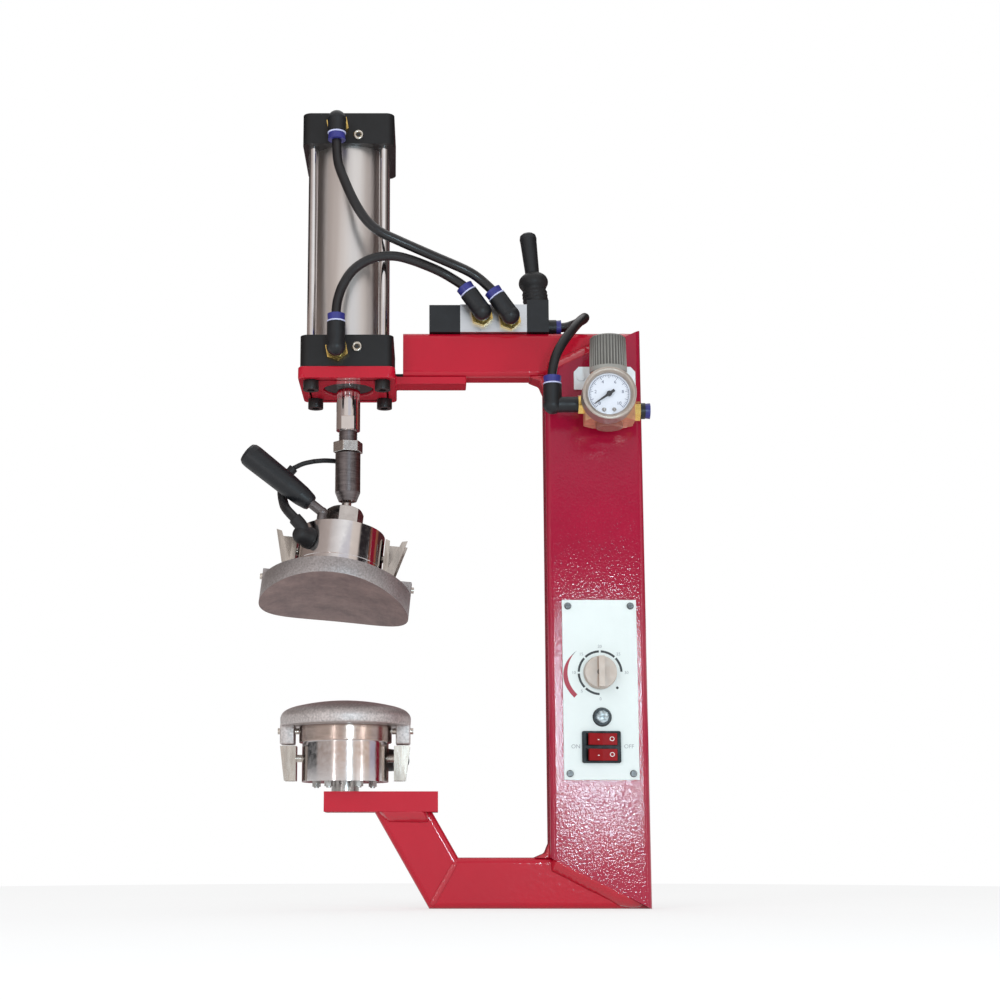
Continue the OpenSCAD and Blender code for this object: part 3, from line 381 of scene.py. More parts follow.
# Materials
RED = srgb(180, 6, 38)
enamel = surface("red_enamel", RED, rough=0.5, specular=0.08, coat=0.7, coat_rough=0.09, vary=0.08,
                 vary_scale=14, bump=0.00016, bump_scale=170, rough_vary=0.08)
hammered = surface("red_hammered", srgb(156, 5, 47), rough=0.5, specular=0.08, coat=0.85, coat_rough=0.085,
                   vary=0.08, vary_scale=18, bump=0.000125, bump_scale=620, bump_detail=1.5, rough_vary=0.08)
bead_enamel = surface("red_bead", RED, rough=0.42, specular=0.2, coat=1.0, coat_rough=0.05, vary=0.08,
                      vary_scale=14, bump=0.00022, bump_scale=260, rough_vary=0.08)
anodised = surface("black_anodised", srgb(20, 20, 22), rough=0.42, specular=0.35, vary=0.2, vary_scale=90,
                   bump=0.00004, bump_scale=1800)
barrel_metal = surface("satin_barrel", srgb(214, 209, 206), rough=0.34, metal=1.0, vary=0.04, vary_scale=90,
                       bump=0.000012, bump_scale=900, stretch=(1, 1, 0.04), rough_vary=0.04)
chrome = surface("chrome", srgb(222, 219, 219), rough=0.09, metal=1.0, vary=0.04, vary_scale=120,
                 bump=0.00001, bump_scale=500, rough_vary=0.05)
soft_chrome = surface("soft_chrome", srgb(204, 200, 200), rough=0.13, metal=1.0, vary=0.05, vary_scale=120,
                      bump=0.00001, bump_scale=500, rough_vary=0.04)
boss_metal = surface("boss_metal", srgb(196, 190, 186), rough=0.2, metal=1.0, vary=0.1, vary_scale=140,
                     bump=0.00001, bump_scale=400, rough_vary=0.05)
nut_steel = surface("nut_steel", srgb(190, 186, 182), rough=0.28, metal=1.0, vary=0.12, vary_scale=300,
                    bump=0.00003, bump_scale=900)
zinc = surface("bright_zinc", srgb(186, 178, 170), rough=0.26, metal=1.0, vary=0.3, vary_scale=120,
               bump=0.00004, bump_scale=500, stretch=(1, 1, 0.25))
bolt_steel = surface("bolt_steel", srgb(166, 163, 160), rough=0.3, metal=1.0, vary=0.15, vary_scale=300,
                     bump=0.00003, bump_scale=900)
dull_steel = surface("dull_steel", srgb(112, 106, 106), rough=0.42, metal=0.9, vary=0.2, vary_scale=200,
                     bump=0.00004, bump_scale=700)
black_oxide = surface("black_oxide", srgb(34, 31, 31), rough=0.38, metal=0.4, vary=0.2, vary_scale=300,
                      bump=0.00003, bump_scale=900)
dark_steel = surface("turned_steel", srgb(112, 105, 105), rough=0.36, metal=1.0, vary=0.3, vary_scale=90,
                     bump=0.00004, bump_scale=260, stretch=(1, 1, 9))
brass = surface("brass", srgb(224, 172, 134), rough=0.42, metal=0.6, vary=0.16, vary_scale=160,
                bump=0.00004, bump_scale=700)
gold_brass = surface("gold_brass", srgb(226, 192, 112), rough=0.24, metal=1.0, vary=0.12, vary_scale=200,
                     bump=0.00003, bump_scale=800)
nickel = surface("nickel", srgb(206, 200, 190), rough=0.22, metal=1.0, vary=0.1, vary_scale=300,
                 bump=0.00002, bump_scale=900)
screw_steel = surface("screw_steel", srgb(86, 84, 84), rough=0.34, metal=0.8, vary=0.2, vary_scale=400,
                      bump=0.00003, bump_scale=1200)
# Pale blue of the collars' rings: a painted highlight.
collar_highlight_paint = surface("collar_highlight_blue", srgb(196, 198, 232), rough=0.3, vary=0.05, vary_scale=300)
satin_ring = surface("satin_ring", srgb(172, 156, 148), rough=0.19, metal=1.0, vary=0.1, vary_scale=90,
                     bump=0.00004, bump_scale=700, stretch=(1, 1, 6))
cast_plate = surface("cast_plate", srgb(184, 176, 174), rough=0.46, metal=0.8, vary=0.28, vary_scale=620,
                     bump=0.00026, bump_scale=900)
black_plastic = surface("black_plastic", srgb(22, 24, 28), rough=0.42, specular=0.4, vary=0.2,
                        vary_scale=120, bump=0.00005, bump_scale=1500)
gloss_black = surface("gloss_black", srgb(12, 12, 16), rough=0.4, specular=0.2, vary=0.2, vary_scale=120,
                      bump=0.00003, bump_scale=1500)
rubber = surface("black_rubber", srgb(24, 23, 25), rough=0.55, specular=0.4, vary=0.25, vary_scale=110,
                 bump=0.00008, bump_scale=900)
hose_skin = surface("hose_skin", srgb(20, 18, 21), rough=0.34, specular=0.45, coat=0.1, coat_rough=0.2,
                    vary=0.2, vary_scale=70, bump=0.00002, bump_scale=500)
blue_plastic = surface("blue_plastic", srgb(42, 44, 122), rough=0.36, vary=0.12, vary_scale=200,
                       bump=0.00003, bump_scale=1200)
beige_plastic = surface("beige_plastic", srgb(182, 165, 152), rough=0.36, vary=0.07, vary_scale=120,
                        bump=0.00004, bump_scale=1300)
white_paint = surface("white_paint", srgb(222, 228, 226), rough=0.5, specular=0.2, vary=0.03, vary_scale=25,
                      bump=0.00004, bump_scale=700)
bracket_white = surface("bracket_white", srgb(238, 242, 244), rough=0.4, specular=0.4, vary=0.04,
                        vary_scale=60, bump=0.00004, bump_scale=700)
brown_plastic = surface("brown_plastic", srgb(146, 92, 80), rough=0.45, vary=0.15, vary_scale=200,
                        bump=0.00004, bump_scale=1200)
plated = surface("plated_case", srgb(174, 162, 152), rough=0.36, metal=0.75, vary=0.08, vary_scale=140,
                 bump=0.00002, bump_scale=800)
needle_paint_and_socket_shade = surface("needle_paint_and_socket_shade", srgb(28, 28, 30), rough=0.4, vary=0.1, bump=0.00002)
lamp_black = surface("lamp_black", srgb(20, 22, 27), rough=0.34, specular=0.25, vary=0.1, vary_scale=300,
                     bump=0.00002, bump_scale=900)
lamp_plastic = surface("lamp_plastic", srgb(176, 190, 196), rough=0.12, metal=0.6, coat=0.6, vary=0.6,
                       vary_scale=480)
red_plastic = surface("red_plastic", srgb(138, 10, 18), rough=0.5, specular=0.15, vary=0.07, vary_scale=200,
                      bump=0.00003, bump_scale=1200)
ink_black = surface("ink_black", srgb(40, 40, 42), rough=0.5, vary=0.08, vary_scale=300)
ink_red = surface("ink_red", srgb(158, 40, 60), rough=0.5, vary=0.08, vary_scale=300)
ink_grey = surface("ink_grey", srgb(150, 152, 156), rough=0.5, vary=0.08, vary_scale=300)
ink_blue = surface("ink_blue", srgb(50, 58, 100), rough=0.5, vary=0.08, vary_scale=300)
mark_white = surface("mark_white", srgb(232, 228, 224), rough=0.5, vary=0.03, vary_scale=300)
dial_white = surface("dial_white", srgb(222, 225, 234), rough=0.5, vary=0.02, vary_scale=200)
valve_metal = surface("valve_metal", srgb(206, 207, 209), rough=0.32, metal=0.9, vary=0.06, vary_scale=60,
                      bump=0.00003, bump_scale=500, stretch=(0.2, 1, 1))


def clear(name, shine):
    """A clear cover: mostly open, with a little mirror reflection that varies with noise."""
    material = bpy.data.materials.new(name)
    material.use_nodes = True
    tree = material.node_tree
    tree.nodes.remove(tree.nodes["Principled BSDF"])
    place = tree.nodes.new("ShaderNodeTexCoord")
    share = ramp(tree, noise(tree, place.outputs["Object"], 60.0), 0.3, 0.7, shine * 0.8, shine * 1.2)
    see = add(tree, "ShaderNodeBsdfTransparent")
    shine_node = add(tree, "ShaderNodeBsdfGlossy", Roughness=0.05)
    both = tree.nodes.new("ShaderNodeMixShader")
    tree.links.new(share, both.inputs[0])
    tree.links.new(see.outputs[0], both.inputs[1])
    tree.links.new(shine_node.outputs[0], both.inputs[2])
    tree.links.new(both.outputs[0], tree.nodes["Material Output"].inputs["Surface"])
    return material


clear_glass = clear("clear_glass", 0.06)


def pressing_plate(name):
    """Cast plate whose downward pressing face is darker, warmer and more matt than its blasted rim."""
    material = surface(name, srgb(154, 147, 146), rough=0.5, metal=0.75, vary=0.26, vary_scale=700,
                       bump=0.0002, bump_scale=1100)
    tree = material.node_tree
    shader = tree.nodes["Principled BSDF"]
    rim = shader.inputs["Base Color"].links[0].from_socket
    place = tree.nodes.new("ShaderNodeTexCoord")
    parts = tree.nodes.new("ShaderNodeSeparateXYZ")
    tree.links.new(place.outputs["Normal"], parts.inputs["Vector"])
    down = ramp(tree, parts.outputs["Z"], -0.62, -0.8)
    stain = ramp(tree, noise(tree, place.outputs["Object"], 42.0, 10.0, 0.78), 0.32, 0.68)
    face = mix(tree, stain, srgb(104, 86, 86), srgb(148, 126, 121))
    tree.links.new(mix(tree, down, rim, face), shader.inputs["Base Color"])
    tree.links.new(ramp(tree, down, 0.0, 1.0, 0.75, 0.35), shader.inputs["Metallic"])
    tree.links.new(ramp(tree, down, 0.0, 1.0, 0.46, 0.62), shader.inputs["Roughness"])
    return material


upper_cast = pressing_plate("upper_cast")


def knob_with_groove_shade(name):
    """Grey plastic with painted shade: darker on the sides of the grooves around the regulator's knob."""
    material = surface(name, srgb(150, 147, 141), rough=0.46, vary=0.08, vary_scale=150,
                       bump=0.00005, bump_scale=1500)
    tree = material.node_tree
    shader = tree.nodes["Principled BSDF"]
    ridge = shader.inputs["Base Color"].links[0].from_socket
    place = tree.nodes.new("ShaderNodeTexCoord")
    flat = add(tree, "ShaderNodeMapping", Location=(-KNOB_X, -KNOB_Y, 0), Scale=(1, 1, 0))
    tree.links.new(place.outputs["Object"], flat.inputs["Vector"])
    reach = tree.nodes.new("ShaderNodeVectorMath")
    reach.operation = "LENGTH"
    tree.links.new(flat.outputs["Vector"], reach.inputs[0])
    outer = ramp(tree, reach.outputs["Value"], KNOB_R - 0.0008, KNOB_R - 0.0002)
    parts = tree.nodes.new("ShaderNodeSeparateXYZ")
    tree.links.new(place.outputs["Normal"], parts.inputs["Vector"])
    # Painted shade: the sides of the flutes near the rim are coloured dark, and the upward faces keep the
    # plain grey.
    painted_groove_shade = mix(tree, ramp(tree, parts.outputs["Z"], 0.6, 0.8), srgb(78, 75, 71), ridge)
    tree.links.new(mix(tree, outer, painted_groove_shade, ridge), shader.inputs["Base Color"])
    return material


grey_plastic = knob_with_groove_shade("grey_plastic")

LOOKS = {
    hammered: ["post"],
    enamel: ["upper_arm", "base_bar", "strut", "platform", "cylinder_plate", "weld_beads"],
    anodised: ["front_cap", "rear_cap"],
    barrel_metal: ["barrel"],
    chrome: ["tie_rods", "piston_rod", "upper_cup", "swivel_ball"],
    soft_chrome: ["lower_cup"],
    boss_metal: ["hex_boss"],
    nut_steel: ["lock_nut"],
    zinc: ["upper_clips", "lower_clips"],
    black_oxide: ["mount_bolts"],
    screw_steel: ["panel_screws"],
    gold_brass: ["brass_fittings"],
    bolt_steel: ["lower_fixings", "valve_spool"],
    dull_steel: ["handle_rod"],
    dark_steel: ["ball_coupling"],
    brass: ["ball_race", "regulator_body", "upper_heater", "lower_heater"],
    upper_cast: ["upper_plate"],
    cast_plate: ["lower_plate", "piston"],
    valve_metal: ["valve_body"],
    black_plastic: ["handle_grip", "valve_end", "lever_housing", "lever", "fitting_bodies", "timer_body"],
    gloss_black: ["switch_frame"],
    rubber: ["lever_boot", "upper_boot", "cable_glands", "upper_lead", "lead_riser"],
    hose_skin: ["hose_rear", "hose_front", "hose_supply"],
    blue_plastic: ["fitting_collars"],
    grey_plastic: ["regulator_knob"],
    beige_plastic: ["timer_knob"],
    white_paint: ["panel"],
    bracket_white: ["regulator_bracket"],
    brown_plastic: ["drain_cap"],
    plated: ["gauge_case"],
    needle_paint_and_socket_shade: ["gauge_needle"],
    lamp_black: ["pilot_lamp"],
    red_plastic: ["rocker_upper", "rocker_lower"],
}
for look, names in LOOKS.items():
    for name in names:
        nodes[name].data.materials.clear()
        nodes[name].data.materials.append(look)

# Hoses, with the points of the CAD model in millimetres
HOSES = {
    "hose_rear": [(-165, -52, 635), (-165, -52, 624), (-163.6, -52, 608), (-158, -52, 592), (-150, -52, 574),
                  (-140.5, -51, 559), (-129, -49.5, 549), (-114, -46.5, 542.5), (-98, -42.5, 536.5),
                  (-82, -37.5, 531), (-68, -33.2, 526.3), (-56, -30.5, 521.5), (-46.5, -28, 516),
                  (-35.4, -27, 505.8), (-31.4, -27, 500.1)],
    "hose_front": [(-164, -52, 470), (-164, -52, 481), (-162.5, -52, 491), (-158.5, -52, 502.5),
                   (-151, -51.3, 514.5), (-140.5, -50, 523), (-128.5, -47.5, 528), (-116, -44.5, 529.5),
                   (-104, -40.5, 528), (-91, -35, 525), (-80, -30.5, 521.6), (-69.8, -27.6, 516.7),
                   (-58.9, -27, 509.3), (-54.9, -27, 503.6)],
    "hose_supply": [(12, -50, 418), (12, -50, 429), (15, -50, 442), (21, -48, 454), (29, -43.5, 466),
                    (36.5, -35, 476.5), (41.5, -23, 483.5), (41.5, -11, 485.5), (36, -3, 484.5),
                    (28, 0, 482.5), (19.4, 0, 482)],
}
for name, points in HOSES.items():
    obj, line, length = cord("air_" + name, points, HOSE_R, hose_skin)
    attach(obj, "frame")
    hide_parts(name)

# Lead of the upper head: a sleeve on the head, then a wire in one piece for each span between joints, up to
# the frame
def on_head(*points):
    """Points of the tilted head, in millimetres, in the frame."""
    return [HEAD @ (Vector(p) / 1000) * 1000 for p in points]


SLEEVE = on_head((-30.4, -33, -45.5), (-37.5, -33.5, -38.5), (-45.5, -25, -28.5), (-51, -7.8, -16),
                 (-54.5, -1, -2.5), (-53, -0.5, 10), (-47.5, -2, 19))
WIRE = on_head((-47.5, -2, 19), (-40, -1.5, 24), (-31.5, -0.5, 27.5), (-23, 1.5, 30), (-15, 5, 32))
WIRES = [
    ("wire_swivel", "upper_head", "ball", WIRE[:3]),
    ("wire_front", "ball", "race", WIRE[2:]),
    ("wire_side", "race", "rod", [WIRE[4], (-162.5, 14.7, 369), (-156, 19, 376), (-156, 19, 386)]),
    ("wire_riser", "rod", "frame", [(-156, 19, 386), (-156, 19.5, 396), (-156, 25, 407), (-156, 36, 416),
                                    (-156, 45, 424), (-156, 48, 434)]),
    ("wire_frame", "frame", None, [(-156, 48, 434), (-152, 48.5, 445), (-142, 48.5, 452), (-126, 48, 453),
                                   (-100, 47, 453), (-64, 44, 453), (-28, 39, 452), (6, 37.5, 448),
                                   (34, 38, 443), (46, 36, 441), (51, 31, 440), (52, 25, 440)]),
]
SHORT_WIRE = 0.03
for name, start, end, points in WIRES:
    line = spline_points([Vector(p) / 1000 for p in points], 6)
    length = run_length(line)
    obj = piece(name, tube(line, WIRE_R), rubber, None if end else start)
    if end:
        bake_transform(obj)
    if length < SHORT_WIRE:
        continue
    if name == "wire_riser":
        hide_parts("lead_riser")
sleeve, line, length = cord("lead_sleeve", SLEEVE, SLEEVE_R, rubber)
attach(sleeve, "upper_head")
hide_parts("upper_lead")

# Bellows boot of the valve lever, as radius and height along the lever
LEVER = Matrix.Translation(LEVER_PIVOT) @ Matrix.Rotation(LEVER_LEAN, 4, "Y")
BOOT = [(0.0102, 0.0052), (0.0108, 0.0058), (0.0104, 0.0074), (0.0108, 0.009), (0.0104, 0.0106),
        (0.0108, 0.0122), (0.0104, 0.0138), (0.0107, 0.0152), (0.01, 0.0168), (0.0099, 0.0182),
        (0.0108, 0.02), (0.0121, 0.0222), (0.0125, 0.0242), (0.0123, 0.0264), (0.0112, 0.029),
        (0.0089, 0.0312), (0.007, 0.0324), (0.0058, 0.0326), (0.0034, 0.032)]
boot = piece("lever_bellows", lathe(BOOT, 64, LEVER), rubber, None)
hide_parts("lever_boot")
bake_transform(boot)

# Pale blue rings on the push-in collars, a painted highlight, with their places in millimetres
COLLARS = [((-165, -52, 635), (0, 0, -1)), ((-164, -52, 470), (0, 0, 1)),
           ((-54.9, -27, 503.6), (-0.574, 0, 0.8189)), ((-31.4, -27, 500.1), (-0.574, 0, 0.8189)),
           ((12, -50, 418), (0, 0, 1))]
BAND = [(0.0067, 0.0001), (0.0073, 0.0002), (0.0076, 0.0006), (0.0076, 0.001), (0.0073, 0.0014),
        (0.0067, 0.0015)]
bands = [lathe(BAND, 48, aimed(Vector(place) / 1000, away)) for place, away in COLLARS]
piece("collar_highlight_rings", merge(*bands), collar_highlight_paint, "frame")

# Rims of the two cushion screws, with a dark hexagon on each that is painted shade of its hexagonal hole
CUSHION_X, CUSHION_Y = PRESS_X + 0.0085, -0.0385
CUSHION_HEIGHTS = (0.4536, 0.6382)
RIM = [(0.0021, 0.0012), (0.0022, 0.0017), (0.0027, 0.0021), (0.0035, 0.0021), (0.004, 0.0017),
       (0.0041, 0.0011), (0.0041, 0.0001)]
# Flat dark hexagons laid on the screw faces: painted shade of the hexagonal holes.
SOCKET_SHADE = [(0.0023, 0.0016), (0.0015, 0.00165), (0.0, 0.00165)]
spots = [aimed((CUSHION_X, CUSHION_Y, height), (0, -1, 0)) for height in CUSHION_HEIGHTS]
rims = [lathe(RIM, 40, spot) for spot in spots]
sockets = [lathe(SOCKET_SHADE, 6, spot, 1) for spot in spots]
piece("cushion_rims", merge(*rims), nickel, "frame")
piece("cushion_socket_shade", merge(*sockets), needle_paint_and_socket_shade, "frame", False)

# Boots and glands of the leads, as radius and height along their axes
UP_BOOT = [(0.0084, 0.0346), (0.0089, 0.0356), (0.0088, 0.0372), (0.0081, 0.0394), (0.0077, 0.0416),
           (0.0074, 0.044), (0.0066, 0.0468), (0.0049, 0.0491), (0.0024, 0.0501), (0.0, 0.0503)]
NECK = [(-0.0297, -0.0297, -0.051), (-0.0302, -0.0318, -0.0475), (-0.0323, -0.0331, -0.0436),
        (-0.0375, -0.0335, -0.0385)]
NECK_R = 0.0054
boot_frame = HEAD @ aimed((0, 0, -0.051), (-0.7071, -0.7071, 0))
neck = tube(spline_points([HEAD @ Vector(p) for p in NECK], 5), NECK_R, 24)
upper_boot = piece("upper_boot_rubber", merge(lathe(UP_BOOT, 48, boot_frame), neck), rubber, "upper_head")
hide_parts("upper_boot")

LOW_BOOT = [(0.0086, 0.0348), (0.0094, 0.0354), (0.0095, 0.038), (0.0091, 0.044), (0.0086, 0.0486),
            (0.0076, 0.0502), (0.0064, 0.0508), (0.0062, 0.0524), (0.0066, 0.0532), (0.0062, 0.0546),
            (0.0057, 0.0554), (0.006, 0.0564), (0.0057, 0.0576), (0.0052, 0.0588), (0.0046, 0.0596),
            (0.0032, 0.0598), (0.0026, 0.0592), (0.0024, 0.056)]
LEAD_GLAND = [(0.0066, 0.0001), (0.0068, 0.0006), (0.0066, 0.0022), (0.0058, 0.0028), (0.0062, 0.0036),
              (0.0055, 0.0044), (0.0051, 0.0052), (0.0046, 0.0059), (0.0034, 0.006), (0.0023, 0.0058),
              (0.0021, 0.004)]
MAINS_GLAND = [(0.0099, 0.0001), (0.0101, 0.0008), (0.0099, 0.003), (0.0088, 0.0038), (0.0092, 0.0048),
               (0.0084, 0.0058), (0.0087, 0.007), (0.0078, 0.008), (0.0079, 0.0092), (0.0071, 0.0108),
               (0.0062, 0.0119), (0.005, 0.012), (0.0041, 0.0116), (0.004, 0.009), (0.004, 0.001)]
gland_forms = [lathe(LOW_BOOT, 48, aimed((PRESS_X, 0, 0.119), (0.82, 0.57, 0))),
               lathe(LEAD_GLAND, 40, aimed((0.052, 0.02, 0.44), (0, 1, 0))),
               lathe(MAINS_GLAND, 48, aimed((0.048, 0.02, 0.06), (0, 1, 0)))]
glands = piece("rubber_glands", merge(*gland_forms), rubber, "frame")
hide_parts("cable_glands")

# Weld beads: both mitres, the platform, the strut and the inner corners
low_along = Vector((-0.8944, 0, 0.4472))
low_down = Vector((-0.4472, 0, -0.8944))
top_along = Vector((0.9033, 0, 0.4291))
top_up = Vector((-0.4291, 0, 0.9033))
strut_along = Vector((0.5, 0, 0.866))
strut_across = Vector((0.866, 0, -0.5))
MITRE = (0.009, 0.0076)
SHELF = (0.0095, 0.0074)
RIDGE = (0.0024, 0.0012)
FILLET = (0.0118, 0.0118)
forms = []
for side in (-1, 1):
    out = Vector((0, side, 0))
    face = Vector((0, side * BAR_HALF, 0))
    low_start = Vector((POST_RIGHT, 0, 0)) + face + low_along * 0.008
    forms.append(weld(low_start, low_along, 0.079, low_down, out, *MITRE, taper=(0.016, 0.004), seed=side))
    top_start = Vector((POST_LEFT, 0, ARM_BOTTOM)) + face + top_along * 0.004
    forms.append(weld(top_start, top_along, 0.077, top_up, out, *MITRE, taper=(0.004, 0.02), seed=2 + side))
    shelf_start = Vector((-0.128, 0, 0.076)) + face
    forms.append(weld(shelf_start, (1, 0, 0), 0.038, (0.5, 0, -0.866), out, *SHELF, seed=4 + side))
    ridge_start = Vector((-0.0862, 0, 0.003)) + face
    for hand in (-1, 1):
        forms.append(weld(ridge_start, strut_along, 0.039, strut_across * hand, out, *RIDGE, 0.9, seed=6))
for height, up in ((BAR_TOP, 1), (ARM_BOTTOM, -1)):
    corner = (POST_LEFT, -0.012, height)
    forms.append(weld(corner, (0, 1, 0), 0.024, (-1, 0, 0), (0, 0, up), *FILLET, -0.9,
                      taper=(0.001, 0.001), seed=8))
beads = piece("rippled_welds", merge(*forms), bead_enamel, "frame")
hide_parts("weld_beads")

# Thread of the rod end
THREAD_LOW, THREAD_HIGH = 0.3823, 0.392
ridges = [(0.0071 if k % 2 else 0.0078, THREAD_LOW + 0.0007 * k) for k in range(14)]
THREAD = [(0.0069, THREAD_LOW)] + ridges + [(0.0069, THREAD_HIGH)]
piece("rod_thread", lathe(THREAD, 48, PRESS_AXIS, 1), dark_steel, "rod")

# Lower heated plate: a cast dome with a rounded rim and two lugs
DOME_R, DOME_TOP, DOME_RISE = 0.053, 0.1655, 0.0085
LUG_SIZE, LUG_ROUND = (0.0117, 0.018, 0.0164), 0.0012
LUG_REACH, LUG_Z = 0.0468, 0.1383
arch = [(DOME_R * 0.1 * k, DOME_TOP - DOME_RISE * (0.1 * k) ** 2) for k in range(9)]
arch += [(0.0474, 0.1582), (0.0502, 0.1564), (0.0521, 0.1541), (0.053, 0.1515), (0.053, 0.1486),
         (0.0528, 0.1463), (0.0521, 0.1452), (0.051, 0.145), (0.046, 0.145), (0.036, 0.145),
         (0.03, 0.145), (0.0, 0.145)]
plate_forms = [lathe(arch, 128, PRESS_AXIS)]
for side in (-1, 1):
    lug = bmesh.new()
    bmesh.ops.create_cube(lug, size=1.0)
    bmesh.ops.scale(lug, vec=LUG_SIZE, verts=lug.verts)
    bmesh.ops.bevel(lug, geom=lug.edges[:], offset=LUG_ROUND, segments=3, affect="EDGES", profile=0.5)
    bmesh.ops.translate(lug, vec=(PRESS_X + side * LUG_REACH, 0, LUG_Z), verts=lug.verts)
    lug.verts.index_update()
    lug_faces = [tuple(v.index for v in f.verts) for f in lug.faces]
    plate_forms.append(([v.co.copy() for v in lug.verts], lug_faces))
    lug.free()
low_plate = piece("cast_dome", merge(*plate_forms), cast_plate, "frame")
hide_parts("lower_plate")

# Satin ring over the lower cup's seam
RING = [(0.0371, 0.1316), (0.0374, 0.1319), (0.0375, 0.1335), (0.0375, 0.142), (0.0374, 0.1444),
        (0.037, 0.1448)]
piece("seam_ring", lathe(RING, 96, PRESS_AXIS), satin_ring, "frame")

# Gauge: bezel, dial, scale, numbers, rivets and glass
gauge_frame = aimed((GAUGE.x, GAUGE.y, GAUGE.z), (0, -1, 0))
DIAL = (GAUGE.x, GAUGE.z)
DIAL_R = 0.0176
DIAL_END = 135
TICK_R, LONG_TICK_R, SHORT_TICK_R = 0.0154, 0.0129, 0.0141
SCALE_R = 0.0157
NUMBER_R = 0.0109
BEZEL = [(0.0193, -0.0039), (0.0171, -0.0036), (0.0168, -0.003), (0.0172, -0.0016), (0.0184, -0.0002),
         (0.0192, 0.0003), (0.0202, 0.0003), (0.0211, -0.0002), (0.0214, -0.0012), (0.0214, -0.0034)]
piece("gauge_bezel", lathe(BEZEL, 96, gauge_frame), plated, "frame")
dial_y = GAUGE.y + 0.00385
scale_y = dial_y - PRINT_GAP
piece("gauge_dial", disc(DIAL, DIAL_R, dial_y, 96), dial_white, "frame", False)
ticks = []
for k in range(51):
    turn = -DIAL_END + 2 * DIAL_END * k / 50
    deep = SHORT_TICK_R if k % 5 else LONG_TICK_R
    half = 0.5 if k % 5 else 0.8
    ticks.append(arc_band(DIAL, lambda s, d=deep: d, lambda s: TICK_R, turn - half, turn + half, scale_y, 2))
ticks.append(arc_band(DIAL, lambda s: TICK_R, lambda s: SCALE_R, -DIAL_END, DIAL_END, scale_y, 60))
piece("gauge_scale", merge(*ticks), ink_blue, "frame", False)
for k in range(6):
    spot = Matrix.Translation(on_circle(DIAL, NUMBER_R, math.radians(-DIAL_END + 54 * k), scale_y))
    mark("gauge_number_%d" % (2 * k), str(2 * k), spot, 0.0038, ink_blue, "frame")
RIVET = [(0.0003, 0.0), (0.0008, 0.0004), (0.0013, 0.0005), (0.0017, 0.0001)]
for k, dx in enumerate((-0.0042, 0.0038)):
    spot = aimed((GAUGE.x + dx, dial_y, GAUGE.z - 0.0127), (0, -1, 0))
    piece("dial_rivet_%d" % k, lathe(RIVET, 24, spot), bolt_steel, "frame")
LENS = [(0.0172, -0.0012), (0.014, -0.0008), (0.009, -0.0004), (0.004, -0.0002), (0.0, -0.0002)]
piece("gauge_glass", lathe(LENS, 64, gauge_frame), clear_glass, "frame")

# Printed marks of the panel
TIMER = (PANEL_X, TIMER_Z)
SWEEP = (PANEL_X - 0.0023, TIMER_Z)
SWEEP_R = 0.0241
MINUTE_IN, MINUTE_OUT, MINUTE_GAP = 0.0163, 0.0181, 2.4
MINUTE_STEP = 45
MINUTE_NUMBER_R = 0.0212
print_y = PANEL_Y - PRINT_GAP
minutes = []
for k in range(6):
    start = 180 + MINUTE_STEP * k
    minutes.append(arc_band(TIMER, lambda s: MINUTE_IN, lambda s: MINUTE_OUT, start + MINUTE_GAP,
                          start + MINUTE_STEP - MINUTE_GAP, print_y))
minutes.append(disc((PANEL_X + 0.0136, TIMER_Z - 0.0122), 0.0011, print_y, 24))
minutes.append(arc_band(SWEEP, lambda s: SWEEP_R, lambda s: SWEEP_R + 0.0006 * s, 318, 306, print_y))
piece("timer_ring", merge(*minutes), ink_black, "frame", False)
sweep = arc_band(SWEEP, lambda s: SWEEP_R - 0.0003 * s,
                 lambda s: 0.0247 + 0.003 * math.sin(min(1.0, s * 1.25) * math.pi * 0.62),
                 306, 223, print_y, 40)
piece("timer_sweep", sweep, ink_red, "frame", False)
for k in range(7):
    turn = math.radians(180 + MINUTE_STEP * k)
    spot = Matrix.Translation(on_circle(TIMER, MINUTE_NUMBER_R, turn, print_y))
    mark("timer_number_%d" % (5 * k), str(5 * k), spot, 0.0034, ink_grey, "frame")
for name, words, dx in (("switch_on", "ON", -0.0205), ("switch_off", "OFF", 0.0221)):
    spot = Matrix.Translation((PANEL_X + dx, print_y, SWITCH_Z + 0.0004))
    mark(name, words, spot, 0.0046, ink_grey, "frame")
ROCKER_TILT = 12
MARK_TILT = math.radians(12.03)
for name, dz in (("rocker_one", ROCKER_DZ), ("rocker_two", -ROCKER_DZ)):
    centre = Matrix.Translation((PANEL_X, PANEL_Y, SWITCH_Z + dz))
    pose = centre @ Matrix.Rotation(math.radians(ROCKER_TILT), 4, "Z")
    right = pose @ Matrix.Translation((0.0075, -0.00475, 0)) @ Matrix.Rotation(-MARK_TILT, 4, "Z")
    left = pose @ Matrix.Translation((-0.0035, -0.00392, 0)) @ Matrix.Rotation(MARK_TILT, 4, "Z")
    mark(name + "_off_mark", "O", right, 0.0052, mark_white, name)
    mark(name + "_on_mark", "-", left, 0.0064, mark_white, name)

# Lens of the pilot lamp
GLOBE = [(0.0053, 0.0022), (0.0054, 0.003), (0.0051, 0.0041), (0.0042, 0.005), (0.0026, 0.0056),
         (0.0, 0.0058)]
lamp_frame = aimed((LAMP_X, PANEL_Y, LAMP_Z), (0, -1, 0))
piece("lamp_lens", lathe(GLOBE, 9, lamp_frame, 1), lamp_plastic, "frame", False)

# Rounded edges
soften(0.0012, "platform", "cylinder_plate")
soften(0.0007, "valve_end", "valve_body", "lever_housing", "regulator_body", "switch_frame", "hex_boss",
       "lock_nut")
soften(0.0011, "timer_knob")
soften(0.0006, "upper_plate")
soften(0.0004, "regulator_bracket", "rocker_upper", "rocker_lower", "upper_clips", "lower_clips",
       "mount_bolts")

